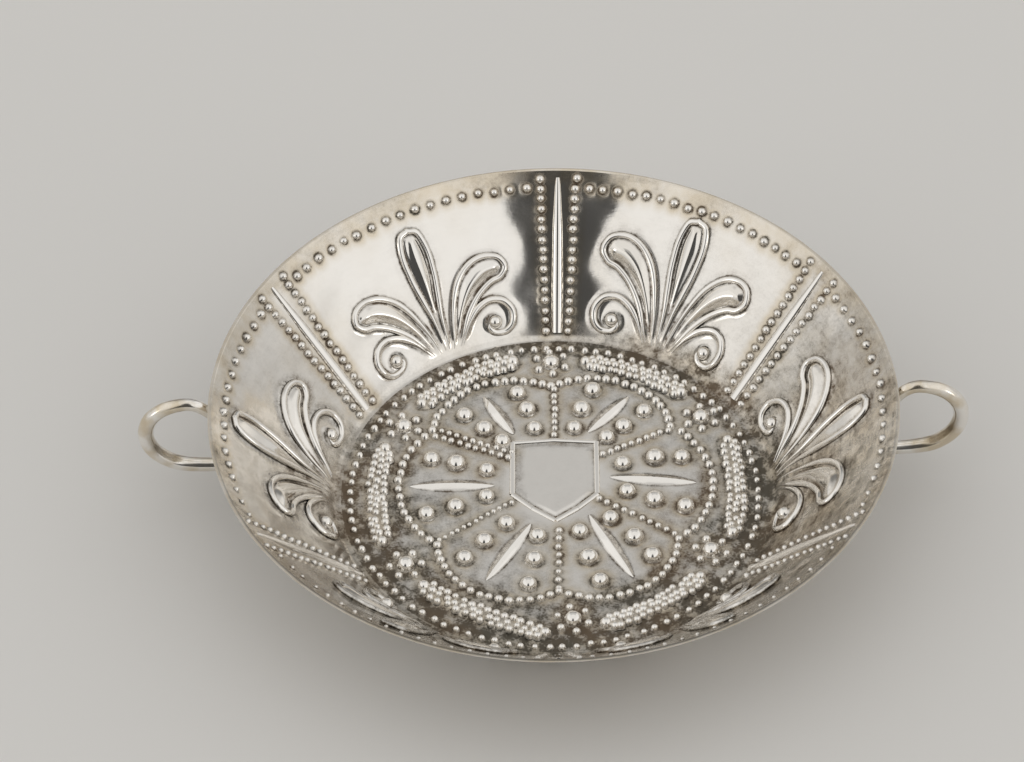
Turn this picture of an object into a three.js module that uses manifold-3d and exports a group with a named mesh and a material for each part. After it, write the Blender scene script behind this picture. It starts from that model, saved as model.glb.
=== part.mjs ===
// A two-handled saucer dish in raised and chased sheet silver.
// Millimetres, +Z up. The origin is the centre of the base on the table, +X points to the right handle.

import * as THREE from 'three';
import { mergeVertices } from 'three/addons/utils/BufferGeometryUtils.js';
import Module from 'manifold-3d';

const wasm = await Module();
wasm.setup();

// Sheet
const rimRadius = 87.5;
const rimHeight = 34.4;
const floorRadius = 56.6;
const coveRadius = 3;
const sheet = 0.7;
const dishSides = 64;
const coveSteps = 2;

// Relief raised from the sheet. A ridge is flat over the middle share of its width, and a pointed end
// keeps a share of the full width. A bump has a shoulder at shares of its radius and height. A stud, for
// a small bead, is a pyramid that spreads a little past the bead.
const flatShare = 0.45;
const endShare = 0.12;
const leafSteps = 5;
const ribSteps = 3;
const barSteps = 4;
const bumpSides = 7;
const bumpShoulder = { reach: 0.7, rise: 0.8 };
const studSides = 3;
const studSpread = 1.4;
const studHeight = 1;

// Ribs up the wall, by azimuth in degrees from +X
const ribs = [33.8, 88.8, 149.3, 211, 270.5, 330];
const ribHalfWidth = 1.6;
const ribHeight = 1.1;
const ribStart = 1.8;
const ribTopMargin = 1.8;

// Palmettes between the ribs: the azimuth of the middle leaf and the plain wall left above its tip, then
// for the leaves on each side how far they spread (degrees) and how high they reach beside the middle one.
const palmettes = [
  { azimuth: 3.5, above: 8.6, left: { spread: 20, reach: 0.78 }, right: { spread: 21.5, reach: 0.77 } },
  { azimuth: 61, above: 6.6, left: { spread: 18.5, reach: 0.78 }, right: { spread: 17, reach: 0.74 } },
  { azimuth: 119, above: 8.6, left: { spread: 20, reach: 0.67 }, right: { spread: 19, reach: 0.67 } },
  { azimuth: 180.2, above: 7.1, left: { spread: 19, reach: 0.71 }, right: { spread: 21, reach: 0.64 } },
  { azimuth: 240.5, above: 7.6, left: { spread: 20, reach: 0.72 }, right: { spread: 20, reach: 0.72 } },
  { azimuth: 300.5, above: 7.6, left: { spread: 20, reach: 0.72 }, right: { spread: 20, reach: 0.72 } },
];
const leafHeight = 1.2;
const middleLeafHalfWidth = 3.9;
const sideLeafHalfWidth = 3.6;
const scrollHalfWidth = 2.6;
const scrollBallRadius = 1.9;

// Middle lines of the leaves. Across is a share of the spread. Up is a share of the middle leaf's tip
// height, and for a side leaf a share of that and of its reach.
const middleLeafFoot = 0.12;
const sideLeafLine = [[0.18, 0.2], [0.34, 0.5], [0.68, 0.85], [1, 0.79]];
const scrollLine = [[0.24, 0.12], [0.45, 0.24], [0.75, 0.27], [1, 0.19]];
const scrollBall = [0.74, 0.133];

// The floor's ornament is drawn below in millimetres and is fitted to leave this plain margin at the wall.
const floorMargin = 7.9;

// Shield in the middle of the floor
const shieldHalfWidth = 11;
const shieldTop = 17.4;
const shieldShoulder = -1.5;
const shieldPoint = -10.5;
const shieldCrest = 18.4;
const borderHalfWidth = 0.55;
const borderHeight = 0.6;

// Spindles on the floor, each from its outer end to its inner end
const spindles = [
  { outer: [37, 2.5], inner: [14.5, 4.7] },
  { outer: [20, 34], inner: [9, 21] },
  { outer: [-18.5, 34.5], inner: [-10.5, 20.5] },
  { outer: [-37.5, 2], inner: [-15.5, 2] },
  { outer: [-17.5, -31], inner: [-6, -11.5] },
  { outer: [20, -30.5], inner: [9, -8.5] },
];
const spindleHalfWidth = 2;
const spindleHeight = 1.1;

// Large beads stand in a row on each side of a spindle, with the outermost one given first.
const beadRows = [
  { outer: [33.5, 11.5], inner: [18, 9.5] },
  { outer: [34, -6], inner: [19, -0.5] },
  { outer: [24, 28.5], inner: [14, 19] },
  { outer: [10.5, 36.5], inner: [5.5, 22.5] },
  { outer: [-9.5, 35.5], inner: [-5, 22.5] },
  { outer: [-23.5, 27.5], inner: [-13.5, 17.8] },
  { outer: [-32, 11.5], inner: [-17.5, 7.5] },
  { outer: [-33, -8], inner: [-17.5, -2] },
  { outer: [-23, -23.5], inner: [-12.3, -11.5] },
  { outer: [-6.7, -32.5], inner: [-4.3, -16] },
  { outer: [11.5, -31.5], inner: [6.5, -14.5] },
  { outer: [25, -23], inner: [14.5, -10] },
];
const beadsInRow = 3;
const largeBeadRadius = 2.2;
const largeBeadHeight = 1.7;

// Rosettes between the lobes of the floor, each a boss with a ring of six beads
const rosettes = [[39, 26], [-0.5, 47], [-39.5, 23.5], [-38, -25.5], [4.5, -44.5], [40, -21.5]];
const bossRadius = 2.35;
const bossHeight = 2;
const petals = 6;
const petalRadius = 1.1;

// Raised bars outside the lobes, each bowed outward between its two ends
const bars = [
  { from: [46, -14], to: [46, 16] },
  { from: [33, 36], to: [10, 47] },
  { from: [-12, 47], to: [-34, 33] },
  { from: [-44.5, 14], to: [-44.5, -16] },
  { from: [-32, -34], to: [-4, -48.5] },
  { from: [14, -45.5], to: [36, -31.5] },
];
const barHalfWidth = 2.4;
const barHeight = 1.2;
const barBow = 1.5;

// Rows of small beads on the wall: one under the rim in each panel, and one up each side of every rib,
// further from the rib at the rim than at the foot
const rimBeadsInPanel = 17;
const rimBeadDrop = 4.5;
const rimBeadRibGap = 5.7;
const ribBeadsInRow = 16;
const ribBeadFoot = 1.9;
const ribBeadTopMargin = 2.1;
const ribBeadFootGap = 2.9;
const ribBeadTopGap = 5;
const wallBeadRadius = 1.13;

// Rows of small beads on the floor: a ring along the wall's foot, six lobes from cusp to cusp past the
// farthest point of each, and straight rows from the cusps towards the shield
const ringBeads = 98;
const ringMargin = 3.6;
const lobeBeads = 16;
const lobeCusps = [[32, -17.5], [31, 23], [-0.5, 38], [-32, 22], [-30, -19], [1, -35]];
const lobeReaches = [[41.5, 2.5], [20, 38.5], [-19.5, 38.5], [-40.5, 1.5], [-17.5, -36.5], [19.5, -35.5]];
const straightRows = [
  { from: [0.3, 36], to: [0.3, 20], beads: 8 },
  { from: [1, -33], to: [1, -14], beads: 8 },
  { from: [-30, 21], to: [-11.5, 13], beads: 9 },
  { from: [29, 21.5], to: [13, 13], beads: 8 },
  { from: [-28, -17], to: [-11, -4], beads: 9 },
  { from: [30, -15.5], to: [11.5, -3], beads: 9 },
];
const ringBeadRadius = 1;
const lobeBeadRadius = 1.25;
const rowBeadRadius = 0.9;

// Handles: a round wire, soldered to the wall at its foot and under the rim
const handles = [
  { name: 'handle_right', azimuth: 2.2, lift: 0.5 },
  { name: 'handle_left', azimuth: 179.75, lift: -0.5 },
];
const armHeight = 12;
const loopReach = 16.8;
const loopCentre = 5;
const loopTopDrop = 0.6;
const shoulderReach = 1.8;
const shoulderDrop = 1.4;
const seatDrop = 4.2;
const tailShare = 0.3;
const tailLean = 1.4;
const footWireRadius = 1.5;
const loopWireRadius = 2.1;
const seatWireRadius = 1.7;
const tailWireRadius = 1.25;
const wireSides = 10;
const wireSteps = 38;
const tipSteps = 2;

// Solder: thin under the wire and spread round it, with a fine seam to the wire and to the wall
const seam = 0.3;
const solderThickness = 0.6;
const solderSpread = 1.6;
const solderRise = 1.1;

// Materials
const silver = { color: 0xcdc8be, roughness: 0.22, metalness: 1 };
const wornSilver = { color: 0xd6d2c8, roughness: 0.16, metalness: 1 };
const solderSilver = { color: 0xb9b4a8, roughness: 0.35, metalness: 1 };

// Worked out from the sizes above. The wall's inner face starts at the floor and rises at wallSlope.
const wallRun = rimRadius - floorRadius;
const wallRise = rimHeight - sheet;
const wallSlope = Math.atan2(wallRise, wallRun) + Math.asin(sheet / Math.hypot(wallRun, wallRise));
const wallLength = wallRise / Math.sin(wallSlope);
const rootDepth = 0.45 * sheet;
const drawnReach = Math.max(...bars.flatMap(({ from, to }) => [Math.hypot(...from), Math.hypot(...to)]));
const floorFit = (floorRadius - floorMargin) / drawnReach;

const Y = new THREE.Vector3(0, 1, 0);
const Z = new THREE.Vector3(0, 0, 1);

// A point at an azimuth and a distance up the wall's inner face
function wallPoint(azimuth, up) {
  const radius = floorRadius + up * Math.cos(wallSlope);
  const z = sheet + up * Math.sin(wallSlope);
  return new THREE.Vector3(radius, 0, z).applyAxisAngle(Z, THREE.MathUtils.degToRad(azimuth));
}

function wallNormal(azimuth) {
  const normal = new THREE.Vector3(-Math.sin(wallSlope), 0, Math.cos(wallSlope));
  return normal.applyAxisAngle(Z, THREE.MathUtils.degToRad(azimuth));
}

function floorPoint([x, y]) {
  return new THREE.Vector3(x * floorFit, y * floorFit, sheet);
}

function floorNormal() {
  return Z.clone();
}

// Radius of the wall's outer face at a height above the table
function outerRadius(z) {
  return rimRadius - (rimHeight - z) / Math.tan(wallSlope);
}

// Joining and cutting
function toSolid(geometry) {
  geometry.deleteAttribute('normal');
  geometry.deleteAttribute('uv');
  const merged = mergeVertices(geometry);
  const corners = merged.index.array;
  const kept = [];
  for (let i = 0; i < corners.length; i += 3) {
    const [a, b, c] = corners.slice(i, i + 3);
    if (a !== b && b !== c && c !== a) kept.push(a, b, c);
  }
  return new wasm.Manifold(new wasm.Mesh({
    numProp: 3,
    vertProperties: new Float32Array(merged.attributes.position.array),
    triVerts: new Uint32Array(kept),
  }));
}

function toGeometry(solid) {
  const mesh = solid.getMesh();
  const geometry = new THREE.BufferGeometry();
  geometry.setAttribute('position', new THREE.BufferAttribute(mesh.vertProperties, 3));
  geometry.setIndex(new THREE.BufferAttribute(mesh.triVerts, 1));
  geometry.computeVertexNormals();
  return geometry;
}

// A closed skin through rings that all have the same number of points
function loft(rings) {
  const count = rings[0].length;
  const positions = rings.flat().flatMap((point) => point.toArray());
  const index = [];
  for (let ring = 0; ring + 1 < rings.length; ring += 1) {
    for (let i = 0; i < count; i += 1) {
      const a = ring * count + i;
      const b = ring * count + ((i + 1) % count);
      index.push(a, b, b + count, a, b + count, a + count);
    }
  }
  const last = (rings.length - 1) * count;
  for (let i = 1; i + 1 < count; i += 1) {
    index.push(0, i + 1, i, last, last + i, last + i + 1);
  }
  const geometry = new THREE.BufferGeometry();
  geometry.setAttribute('position', new THREE.Float32BufferAttribute(positions, 3));
  geometry.setIndex(index);
  return geometry;
}

// A profile of [radius, z] points turned about the Z axis
function turned(profile, sides) {
  const points = profile.map(([radius, z]) => new THREE.Vector2(radius, z));
  return new THREE.LatheGeometry(points, sides).rotateX(Math.PI / 2);
}

// Relief: a ridge follows a curve on the sheet, with its crest along the middle
function ridge(curve, normals, steps, halfWidth, height, breadth) {
  const rings = [];
  for (let step = 0; step <= steps; step += 1) {
    const t = step / steps;
    const share = breadth(t);
    const at = curve.getPoint(t);
    const normal = normals(at);
    const side = new THREE.Vector3().crossVectors(curve.getTangent(t), normal).normalize();
    const half = halfWidth * share;
    const crest = height * Math.sqrt(share);
    const section = [[-half, -rootDepth], [-half * flatShare, crest], [half * flatShare, crest],
      [half, -rootDepth]];
    rings.push(section.map(([across, out]) => (
      at.clone().addScaledVector(side, across).addScaledVector(normal, out))));
  }
  return toSolid(loft(rings));
}

function bump(at, normal, radius, height, sides) {
  const shoulder = [radius * bumpShoulder.reach, height * bumpShoulder.rise];
  const profile = [[0, -rootDepth], [radius, -rootDepth], shoulder, [0, height]];
  const turn = new THREE.Quaternion().setFromUnitVectors(Z, normal);
  const geometry = turned(profile, sides);
  return toSolid(geometry.applyQuaternion(turn).translate(at.x, at.y, at.z));
}

function stud(at, normal, radius) {
  const turn = new THREE.Quaternion().setFromUnitVectors(Z, normal);
  const geometry = turned([[0, -rootDepth], [radius * studSpread, -rootDepth], [0, studHeight]], studSides);
  return toSolid(geometry.applyQuaternion(turn).translate(at.x, at.y, at.z));
}

// How wide a ridge is along its length, as a share of its full width
const tapered = (t) => 1 - (1 - endShare) * t ** 3;
const leafShaped = (t) => endShare + (1 - endShare) * Math.sin(Math.PI * t ** 1.3) ** 0.8;
const spindleShaped = (t) => endShare + (1 - endShare) * Math.sin(Math.PI * t) ** 0.7;
const blunt = (t) => (t === 0 || t === 1 ? 0.7 : 1);

const azimuthOf = (point) => THREE.MathUtils.radToDeg(Math.atan2(point.y, point.x));
const onWall = (point) => wallNormal(azimuthOf(point));

function wallCurve(points) {
  return new THREE.CatmullRomCurve3(points.map(([azimuth, up]) => wallPoint(azimuth, up)));
}

function floorCurve(points) {
  return new THREE.CatmullRomCurve3(points.map(floorPoint));
}

function rib(azimuth) {
  const end = wallLength - ribTopMargin;
  const curve = wallCurve([[azimuth, ribStart], [azimuth, (ribStart + end) / 2], [azimuth, end]]);
  return ridge(curve, onWall, ribSteps, ribHalfWidth, ribHeight, tapered);
}

// One side of a palmette: a leaf that bends outward, and below it a scroll that ends in a ball.
// way is 1 to the left of the middle leaf, at larger azimuths, and -1 to its right.
function palmetteSide(azimuth, tip, way, { spread, reach }) {
  const at = ([share, up]) => [azimuth + way * share * spread, up * tip];
  const leaf = wallCurve(sideLeafLine.map(([share, up]) => at([share, up * reach])));
  const scroll = wallCurve(scrollLine.map(at));
  const ball = wallPoint(...at(scrollBall));
  return [
    ridge(leaf, onWall, leafSteps, sideLeafHalfWidth, leafHeight, leafShaped),
    ridge(scroll, onWall, leafSteps, scrollHalfWidth, leafHeight, leafShaped),
    bump(ball, onWall(ball), scrollBallRadius, leafHeight, bumpSides),
  ];
}

function palmette({ azimuth, above, left, right }) {
  const tip = wallLength - above;
  const foot = middleLeafFoot * tip;
  const middle = wallCurve([[azimuth, foot], [azimuth, (foot + tip) / 2], [azimuth, tip]]);
  return [
    ridge(middle, onWall, leafSteps, middleLeafHalfWidth, leafHeight, leafShaped),
    ...palmetteSide(azimuth, tip, 1, left),
    ...palmetteSide(azimuth, tip, -1, right),
  ];
}

function shield() {
  const corners = [[0, shieldCrest], [shieldHalfWidth, shieldTop], [shieldHalfWidth, shieldShoulder],
    [0, shieldPoint], [-shieldHalfWidth, shieldShoulder], [-shieldHalfWidth, shieldTop]];
  return corners.map((corner, i) => {
    const next = corners[(i + 1) % corners.length];
    const side = new THREE.LineCurve3(floorPoint(corner), floorPoint(next));
    return ridge(side, floorNormal, 1, borderHalfWidth, borderHeight, () => 1);
  });
}

function spindle({ outer, inner }) {
  const curve = new THREE.LineCurve3(floorPoint(outer), floorPoint(inner));
  return ridge(curve, floorNormal, leafSteps, spindleHalfWidth, spindleHeight, spindleShaped);
}

function beadRow({ outer, inner }) {
  const row = new THREE.LineCurve3(floorPoint(outer), floorPoint(inner));
  return Array.from({ length: beadsInRow }, (_, i) => (
    bump(row.getPoint(i / (beadsInRow - 1)), Z, largeBeadRadius, largeBeadHeight, bumpSides)));
}

function rosette(centre) {
  const ringRadius = bossRadius + petalRadius;
  const beads = Array.from({ length: petals }, (_, i) => {
    const turn = (2 * Math.PI * i) / petals;
    const out = new THREE.Vector3(ringRadius, 0, 0).applyAxisAngle(Z, turn);
    return stud(floorPoint(centre).add(out), Z, petalRadius);
  });
  return [bump(floorPoint(centre), Z, bossRadius, bossHeight, bumpSides), ...beads];
}

function bar({ from, to }) {
  const middle = floorPoint(from).add(floorPoint(to)).multiplyScalar(0.5);
  const outward = new THREE.Vector3(middle.x, middle.y, 0).normalize();
  middle.addScaledVector(outward, barBow);
  const curve = floorCurve([from, [middle.x, middle.y], to]);
  return ridge(curve, floorNormal, barSteps, barHalfWidth, barHeight, blunt);
}

function evenly(count, from, to) {
  return Array.from({ length: count }, (_, i) => THREE.MathUtils.lerp(from, to, i / (count - 1)));
}

function rimBeadRow(rib, i) {
  const next = ribs[(i + 1) % ribs.length] + (i + 1 === ribs.length ? 360 : 0);
  const up = wallLength - rimBeadDrop;
  return evenly(rimBeadsInPanel, rib + rimBeadRibGap, next - rimBeadRibGap).map((azimuth) => (
    stud(wallPoint(azimuth, up), wallNormal(azimuth), wallBeadRadius)));
}

function ribBeadRow(rib, way) {
  return evenly(ribBeadsInRow, ribBeadFoot, wallLength - ribBeadTopMargin).map((up) => {
    const gap = THREE.MathUtils.lerp(ribBeadFootGap, ribBeadTopGap, up / wallLength);
    const radius = floorRadius + up * Math.cos(wallSlope);
    const azimuth = rib + way * THREE.MathUtils.radToDeg(gap / radius);
    return stud(wallPoint(azimuth, up), wallNormal(azimuth), wallBeadRadius);
  });
}

function beadRing() {
  const radius = floorRadius - ringMargin;
  return Array.from({ length: ringBeads }, (_, i) => {
    const turn = (2 * Math.PI * i) / ringBeads;
    const at = new THREE.Vector3(radius * Math.cos(turn), radius * Math.sin(turn), sheet);
    return stud(at, Z, ringBeadRadius);
  });
}

// The centre of the circle through three points of the floor
function circleCentre(a, b, c) {
  const [ab, ac] = [b.clone().sub(a), c.clone().sub(a)];
  const twiceCross = 2 * (ab.x * ac.y - ab.y * ac.x);
  const x = (ac.y * ab.lengthSq() - ab.y * ac.lengthSq()) / twiceCross;
  const y = (ab.x * ac.lengthSq() - ac.x * ab.lengthSq()) / twiceCross;
  return new THREE.Vector3(a.x + x, a.y + y, a.z);
}

// Beads along the circle from one cusp, past the lobe's farthest point, to just before the next cusp
function lobe(cusp, i) {
  const [start, reach, end] = [cusp, lobeReaches[i], lobeCusps[(i + 1) % lobeCusps.length]].map(floorPoint);
  const centre = circleCentre(start, reach, end);
  const turnOf = (point) => Math.atan2(point.y - centre.y, point.x - centre.x);
  const sweep = THREE.MathUtils.euclideanModulo(turnOf(end) - turnOf(start), 2 * Math.PI);
  return Array.from({ length: lobeBeads }, (_, bead) => {
    const spoke = start.clone().sub(centre).applyAxisAngle(Z, (sweep * bead) / lobeBeads);
    return stud(centre.clone().add(spoke), Z, lobeBeadRadius);
  });
}

function straightRow({ from, to, beads }) {
  const row = new THREE.LineCurve3(floorPoint(from), floorPoint(to));
  return row.getPoints(beads - 1).map((at) => stud(at, Z, rowBeadRadius));
}

// The plain dish: floor, cove, flared wall and the level cut edge of the rim
function plainDish() {
  const centre = floorRadius - coveRadius * Math.tan(wallSlope / 2);
  const cove = (radius) => Array.from({ length: coveSteps + 1 }, (_, i) => {
    const turn = (wallSlope * i) / coveSteps;
    return [centre + radius * Math.sin(turn), sheet + coveRadius - radius * Math.cos(turn)];
  });
  const rimInside = floorRadius + wallLength * Math.cos(wallSlope);
  const profile = [[0, 0], ...cove(coveRadius + sheet), [rimRadius, rimHeight], [rimInside, rimHeight],
    ...cove(coveRadius).reverse(), [0, sheet]];
  return toSolid(turned(profile, dishSides));
}

function dishBody() {
  const relief = [
    ...ribs.map(rib),
    ...palmettes.flatMap(palmette),
    ...shield(),
    ...spindles.map(spindle),
    ...beadRows.flatMap(beadRow),
    ...rosettes.flatMap(rosette),
    ...bars.map(bar),
    ...ribs.flatMap(rimBeadRow),
    ...ribs.flatMap((azimuth) => [...ribBeadRow(azimuth, 1), ...ribBeadRow(azimuth, -1)]),
    ...beadRing(),
    ...lobeCusps.flatMap(lobe),
    ...straightRows.flatMap(straightRow),
  ];
  return relief.reduce((dish, piece) => dish.add(piece), plainDish());
}

// Everything on the dish's side of a surface that stands off the wall's outer face by a seam, and what is
// above the dish
function wallKeepOut() {
  const out = seam / Math.sin(wallSlope);
  const rim = rimRadius + out;
  const above = 2 * rimHeight;
  const profile = [[0, 0], [outerRadius(0) + out, 0], [rim, rimHeight], [rim, above], [0, above]];
  return toSolid(turned(profile, dishSides));
}

// The handle's own plane is y = 0. outward is the normal of the wall's outer face in that plane.
const outward = new THREE.Vector3(Math.sin(wallSlope), 0, -Math.cos(wallSlope));

function outerWallPoint(z) {
  return new THREE.Vector3(outerRadius(z), 0, z);
}

// The wire's middle line, from its foot inside the wall, round the loop and past the seat to its tail
function wirePath(lift) {
  const arm = armHeight + lift;
  const top = rimHeight - loopTopDrop + lift;
  const foot = outerWallPoint(arm).setX(outerRadius(arm) - 2 * footWireRadius);
  const middle = new THREE.Vector3(rimRadius + loopCentre, 0, (arm + top) / 2);
  const loop = [-90, -60, -30, 0, 30, 60, 90].map(THREE.MathUtils.degToRad).map((turn) => {
    const out = (loopReach - loopCentre) * Math.cos(turn);
    const up = ((top - arm) / 2) * Math.sin(turn);
    return middle.clone().add(new THREE.Vector3(out, 0, up));
  });
  const armMiddle = foot.clone().lerp(loop[0], 0.5);
  const shoulder = new THREE.Vector3(rimRadius + shoulderReach, 0, top - shoulderDrop);
  const standOff = seatWireRadius + solderThickness + 2 * seam;
  const seat = outerWallPoint(rimHeight - seatDrop).addScaledVector(outward, standOff);
  const tailLength = tailShare * (top - arm);
  const tail = new THREE.Vector3(seat.x - tailLean, 0, seat.z - tailLength / 2);
  const tip = new THREE.Vector3(seat.x - tailLean, 0, seat.z - tailLength);
  const points = [foot, armMiddle, ...loop, shoulder, seat, tail, tip];
  return new THREE.CatmullRomCurve3(points, false, 'centripetal');
}

// Wire radius at equal steps along its length, blended between them
const wireRadii = [footWireRadius, (footWireRadius + loopWireRadius) / 2, loopWireRadius, loopWireRadius,
  seatWireRadius, tailWireRadius];

function wireRadius(t) {
  const place = t * (wireRadii.length - 1);
  const before = Math.min(Math.floor(place), wireRadii.length - 2);
  return THREE.MathUtils.lerp(wireRadii[before], wireRadii[before + 1], place - before);
}

function circle(centre, along, radius) {
  const side = new THREE.Vector3().crossVectors(along, Y).normalize();
  return Array.from({ length: wireSides }, (_, i) => {
    const turn = (2 * Math.PI * i) / wireSides;
    return centre.clone()
      .addScaledVector(Y, radius * Math.cos(turn))
      .addScaledVector(side, radius * Math.sin(turn));
  });
}

// A wire with a rounded tail. growth makes it fatter all round, for cutting its seam out of the solder.
function wire(path, growth) {
  const rings = [];
  for (let step = 0; step <= wireSteps; step += 1) {
    const t = step / wireSteps;
    rings.push(circle(path.getPointAt(t), path.getTangentAt(t), wireRadius(t) + growth));
  }
  const along = path.getTangentAt(1);
  const radius = tailWireRadius + growth;
  for (let step = 1; step <= tipSteps; step += 1) {
    const turn = (Math.PI / 2) * (step / (tipSteps + 0.5));
    const centre = path.getPointAt(1).addScaledVector(along, radius * Math.sin(turn));
    rings.push(circle(centre, along, radius * Math.cos(turn)));
  }
  return toSolid(loft(rings));
}

// A flat round lump of solder on the wall, wider along the slope by the slant of the wire
function solderLump(at, wireThere, thickness) {
  const spread = wireThere + seam + solderSpread;
  const lump = new THREE.SphereGeometry(1, 12, 8);
  lump.scale(seam + thickness, spread, spread / Math.sin(wallSlope));
  lump.rotateY(Math.PI / 2 - wallSlope);
  return toSolid(lump.translate(at.x, at.y, at.z));
}

function named(name, solid, look) {
  const mesh = new THREE.Mesh(toGeometry(solid), new THREE.MeshStandardMaterial(look));
  mesh.name = name;
  return mesh;
}

function handle({ name, azimuth, lift }) {
  const path = wirePath(lift);
  const wall = wallKeepOut();
  const room = wall.add(wire(path, seam));
  const upperAt = outerWallPoint(rimHeight - seatDrop);
  const lowerAt = outerWallPoint(armHeight + lift);
  const upper = solderLump(upperAt, seatWireRadius, solderThickness + solderRise);
  const lower = solderLump(lowerAt, footWireRadius, solderRise);
  const group = new THREE.Group();
  group.rotation.z = THREE.MathUtils.degToRad(azimuth);
  group.add(named(name, wire(path, 0).subtract(wall), wornSilver));
  group.add(named(`${name}_upper_solder`, upper.subtract(room), solderSilver));
  group.add(named(`${name}_lower_solder`, lower.subtract(room), solderSilver));
  return group;
}

const dish = new THREE.Group();
dish.add(named('dish_body', dishBody(), silver));
dish.add(...handles.map(handle));

export default dish;
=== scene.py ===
"""A two-handled saucer dish in raised and chased silver: its sheet, relief, beads, loops and stage."""
import math

import bpy
import numpy as np
from bpy.props import FloatProperty, FloatVectorProperty, PointerProperty
from mathutils import Matrix, Vector


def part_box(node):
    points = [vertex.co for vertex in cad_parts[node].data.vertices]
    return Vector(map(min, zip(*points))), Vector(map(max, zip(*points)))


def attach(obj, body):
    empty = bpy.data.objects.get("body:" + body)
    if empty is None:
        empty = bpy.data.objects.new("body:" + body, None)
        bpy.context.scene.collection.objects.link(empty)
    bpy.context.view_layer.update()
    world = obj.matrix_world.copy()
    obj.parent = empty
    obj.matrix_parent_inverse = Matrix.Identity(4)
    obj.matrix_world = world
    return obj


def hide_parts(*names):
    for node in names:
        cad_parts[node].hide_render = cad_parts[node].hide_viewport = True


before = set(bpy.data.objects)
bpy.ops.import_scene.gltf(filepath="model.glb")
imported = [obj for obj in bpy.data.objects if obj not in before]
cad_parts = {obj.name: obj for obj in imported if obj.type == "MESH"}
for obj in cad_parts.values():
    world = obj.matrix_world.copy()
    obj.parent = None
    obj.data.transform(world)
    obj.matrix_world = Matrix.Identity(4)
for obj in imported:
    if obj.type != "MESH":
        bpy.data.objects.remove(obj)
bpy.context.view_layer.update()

bl_info = {
    "name": "Saucer dish in chased silver",
    "version": (1, 0, 0),
    "blender": (4, 5, 0),
    "location": "View3D > Sidebar > Saucer dish",
    "description": "Builds a two-handled saucer dish with raised palmettes, beads and a blank shield",
    "category": "Object",
}

MM = 0.001
DISH_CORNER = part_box("dish_body")[1]

# Seeds of what is drawn at random
HAMMER_SEED = WALL_BEAD_SEED = 7
FLOOR_BEAD_SEED, WIRE_SEED, RIM_WEAR_SEED, FLOOR_WEAR_SEED, FILM_SEED = 8, 10, 11, 12, 16

# How finely the sheet is divided: round each sixth of the wall, up its inside, up its outside, and across
# the floor and its reverse
WALL_COLUMNS, INNER_ROWS, OUTER_ROWS = 301, 168, 58
FLOOR_CELLS, REVERSE_CELLS = 310, 170
# Sides and rings of one bead
SMALL_BEAD, LARGE_BEAD, SCROLL_BEAD = (10, 3), (22, 7), (24, 8)

# Places of the ornament: azimuths in degrees from +X, heights up the wall and floor places in mm; soil is how
# dark the sheet close round a palmette is painted, with smudges of tarnish and painted shade, and film how
# tarnished its crests are
RIBS = (33.8, 88.8, 149.3, 211, 270.5, 330)
PALMETTES = (
    {"azimuth": 3.5, "tip": 36.5, "left": (20, 28.5), "right": (21.5, 28), "soil_and_shade": 0.75, "film": 0},
    {"azimuth": 61, "tip": 38.5, "left": (18.5, 30), "right": (17, 28.5), "soil_and_shade": 0.2, "film": 0},
    {"azimuth": 119, "tip": 36.5, "left": (20, 24.5), "right": (19, 24.5), "soil_and_shade": 0.1, "film": 0},
    {"azimuth": 180.2, "tip": 38, "left": (19, 27), "right": (21, 24.5), "soil_and_shade": 0.6, "film": 0},
    {"azimuth": 240.5, "tip": 37.5, "left": (20, 27), "right": (20, 27), "soil_and_shade": 0.55, "film": 0.5},
    {"azimuth": 300.5, "tip": 37.5, "left": (20, 27), "right": (20, 27), "soil_and_shade": 0.6, "film": 0.5},
)
SPINDLES = (
    ((37, 2.5), (14.5, 4.7)), ((20, 34), (9, 21)), ((-18.5, 34.5), (-10.5, 20.5)),
    ((-37.5, 2), (-15.5, 2)), ((-17.5, -31), (-6, -11.5)), ((20, -30.5), (9, -8.5)),
)
LARGE_BEADS = (
    ((33.5, 11.5), (26.5, 11.5), (18, 9.5)), ((34, -6), (26, -3.5), (19, -0.5)),
    ((24, 28.5), (18.5, 23), (14, 19)), ((10.5, 36.5), (7.5, 29.5), (5.5, 22.5)),
    ((-9.5, 35.5), (-7, 29.5), (-5, 22.5)), ((-23.5, 27.5), (-18.3, 22.5), (-13.5, 17.8)),
    ((-32, 11.5), (-25.5, 10), (-17.5, 7.5)), ((-33, -8), (-25.5, -5.5), (-17.5, -2)),
    ((-23, -23.5), (-18, -17.5), (-12.3, -11.5)), ((-6.7, -32.5), (-5.2, -24), (-4.3, -16)),
    ((11.5, -31.5), (8.7, -23.5), (6.5, -14.5)), ((25, -23), (20.5, -16.5), (14.5, -10)),
)
# Each lobe runs from its own cusp past its reach to the next cusp
LOBE_CUSPS = ((32, -17.5), (31, 23), (-0.5, 38), (-32, 22), (-30, -19), (1, -35))
LOBE_REACHES = ((41.5, 2.5), (20, 38.5), (-19.5, 38.5), (-40.5, 1.5), (-17.5, -36.5), (19.5, -35.5))
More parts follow.
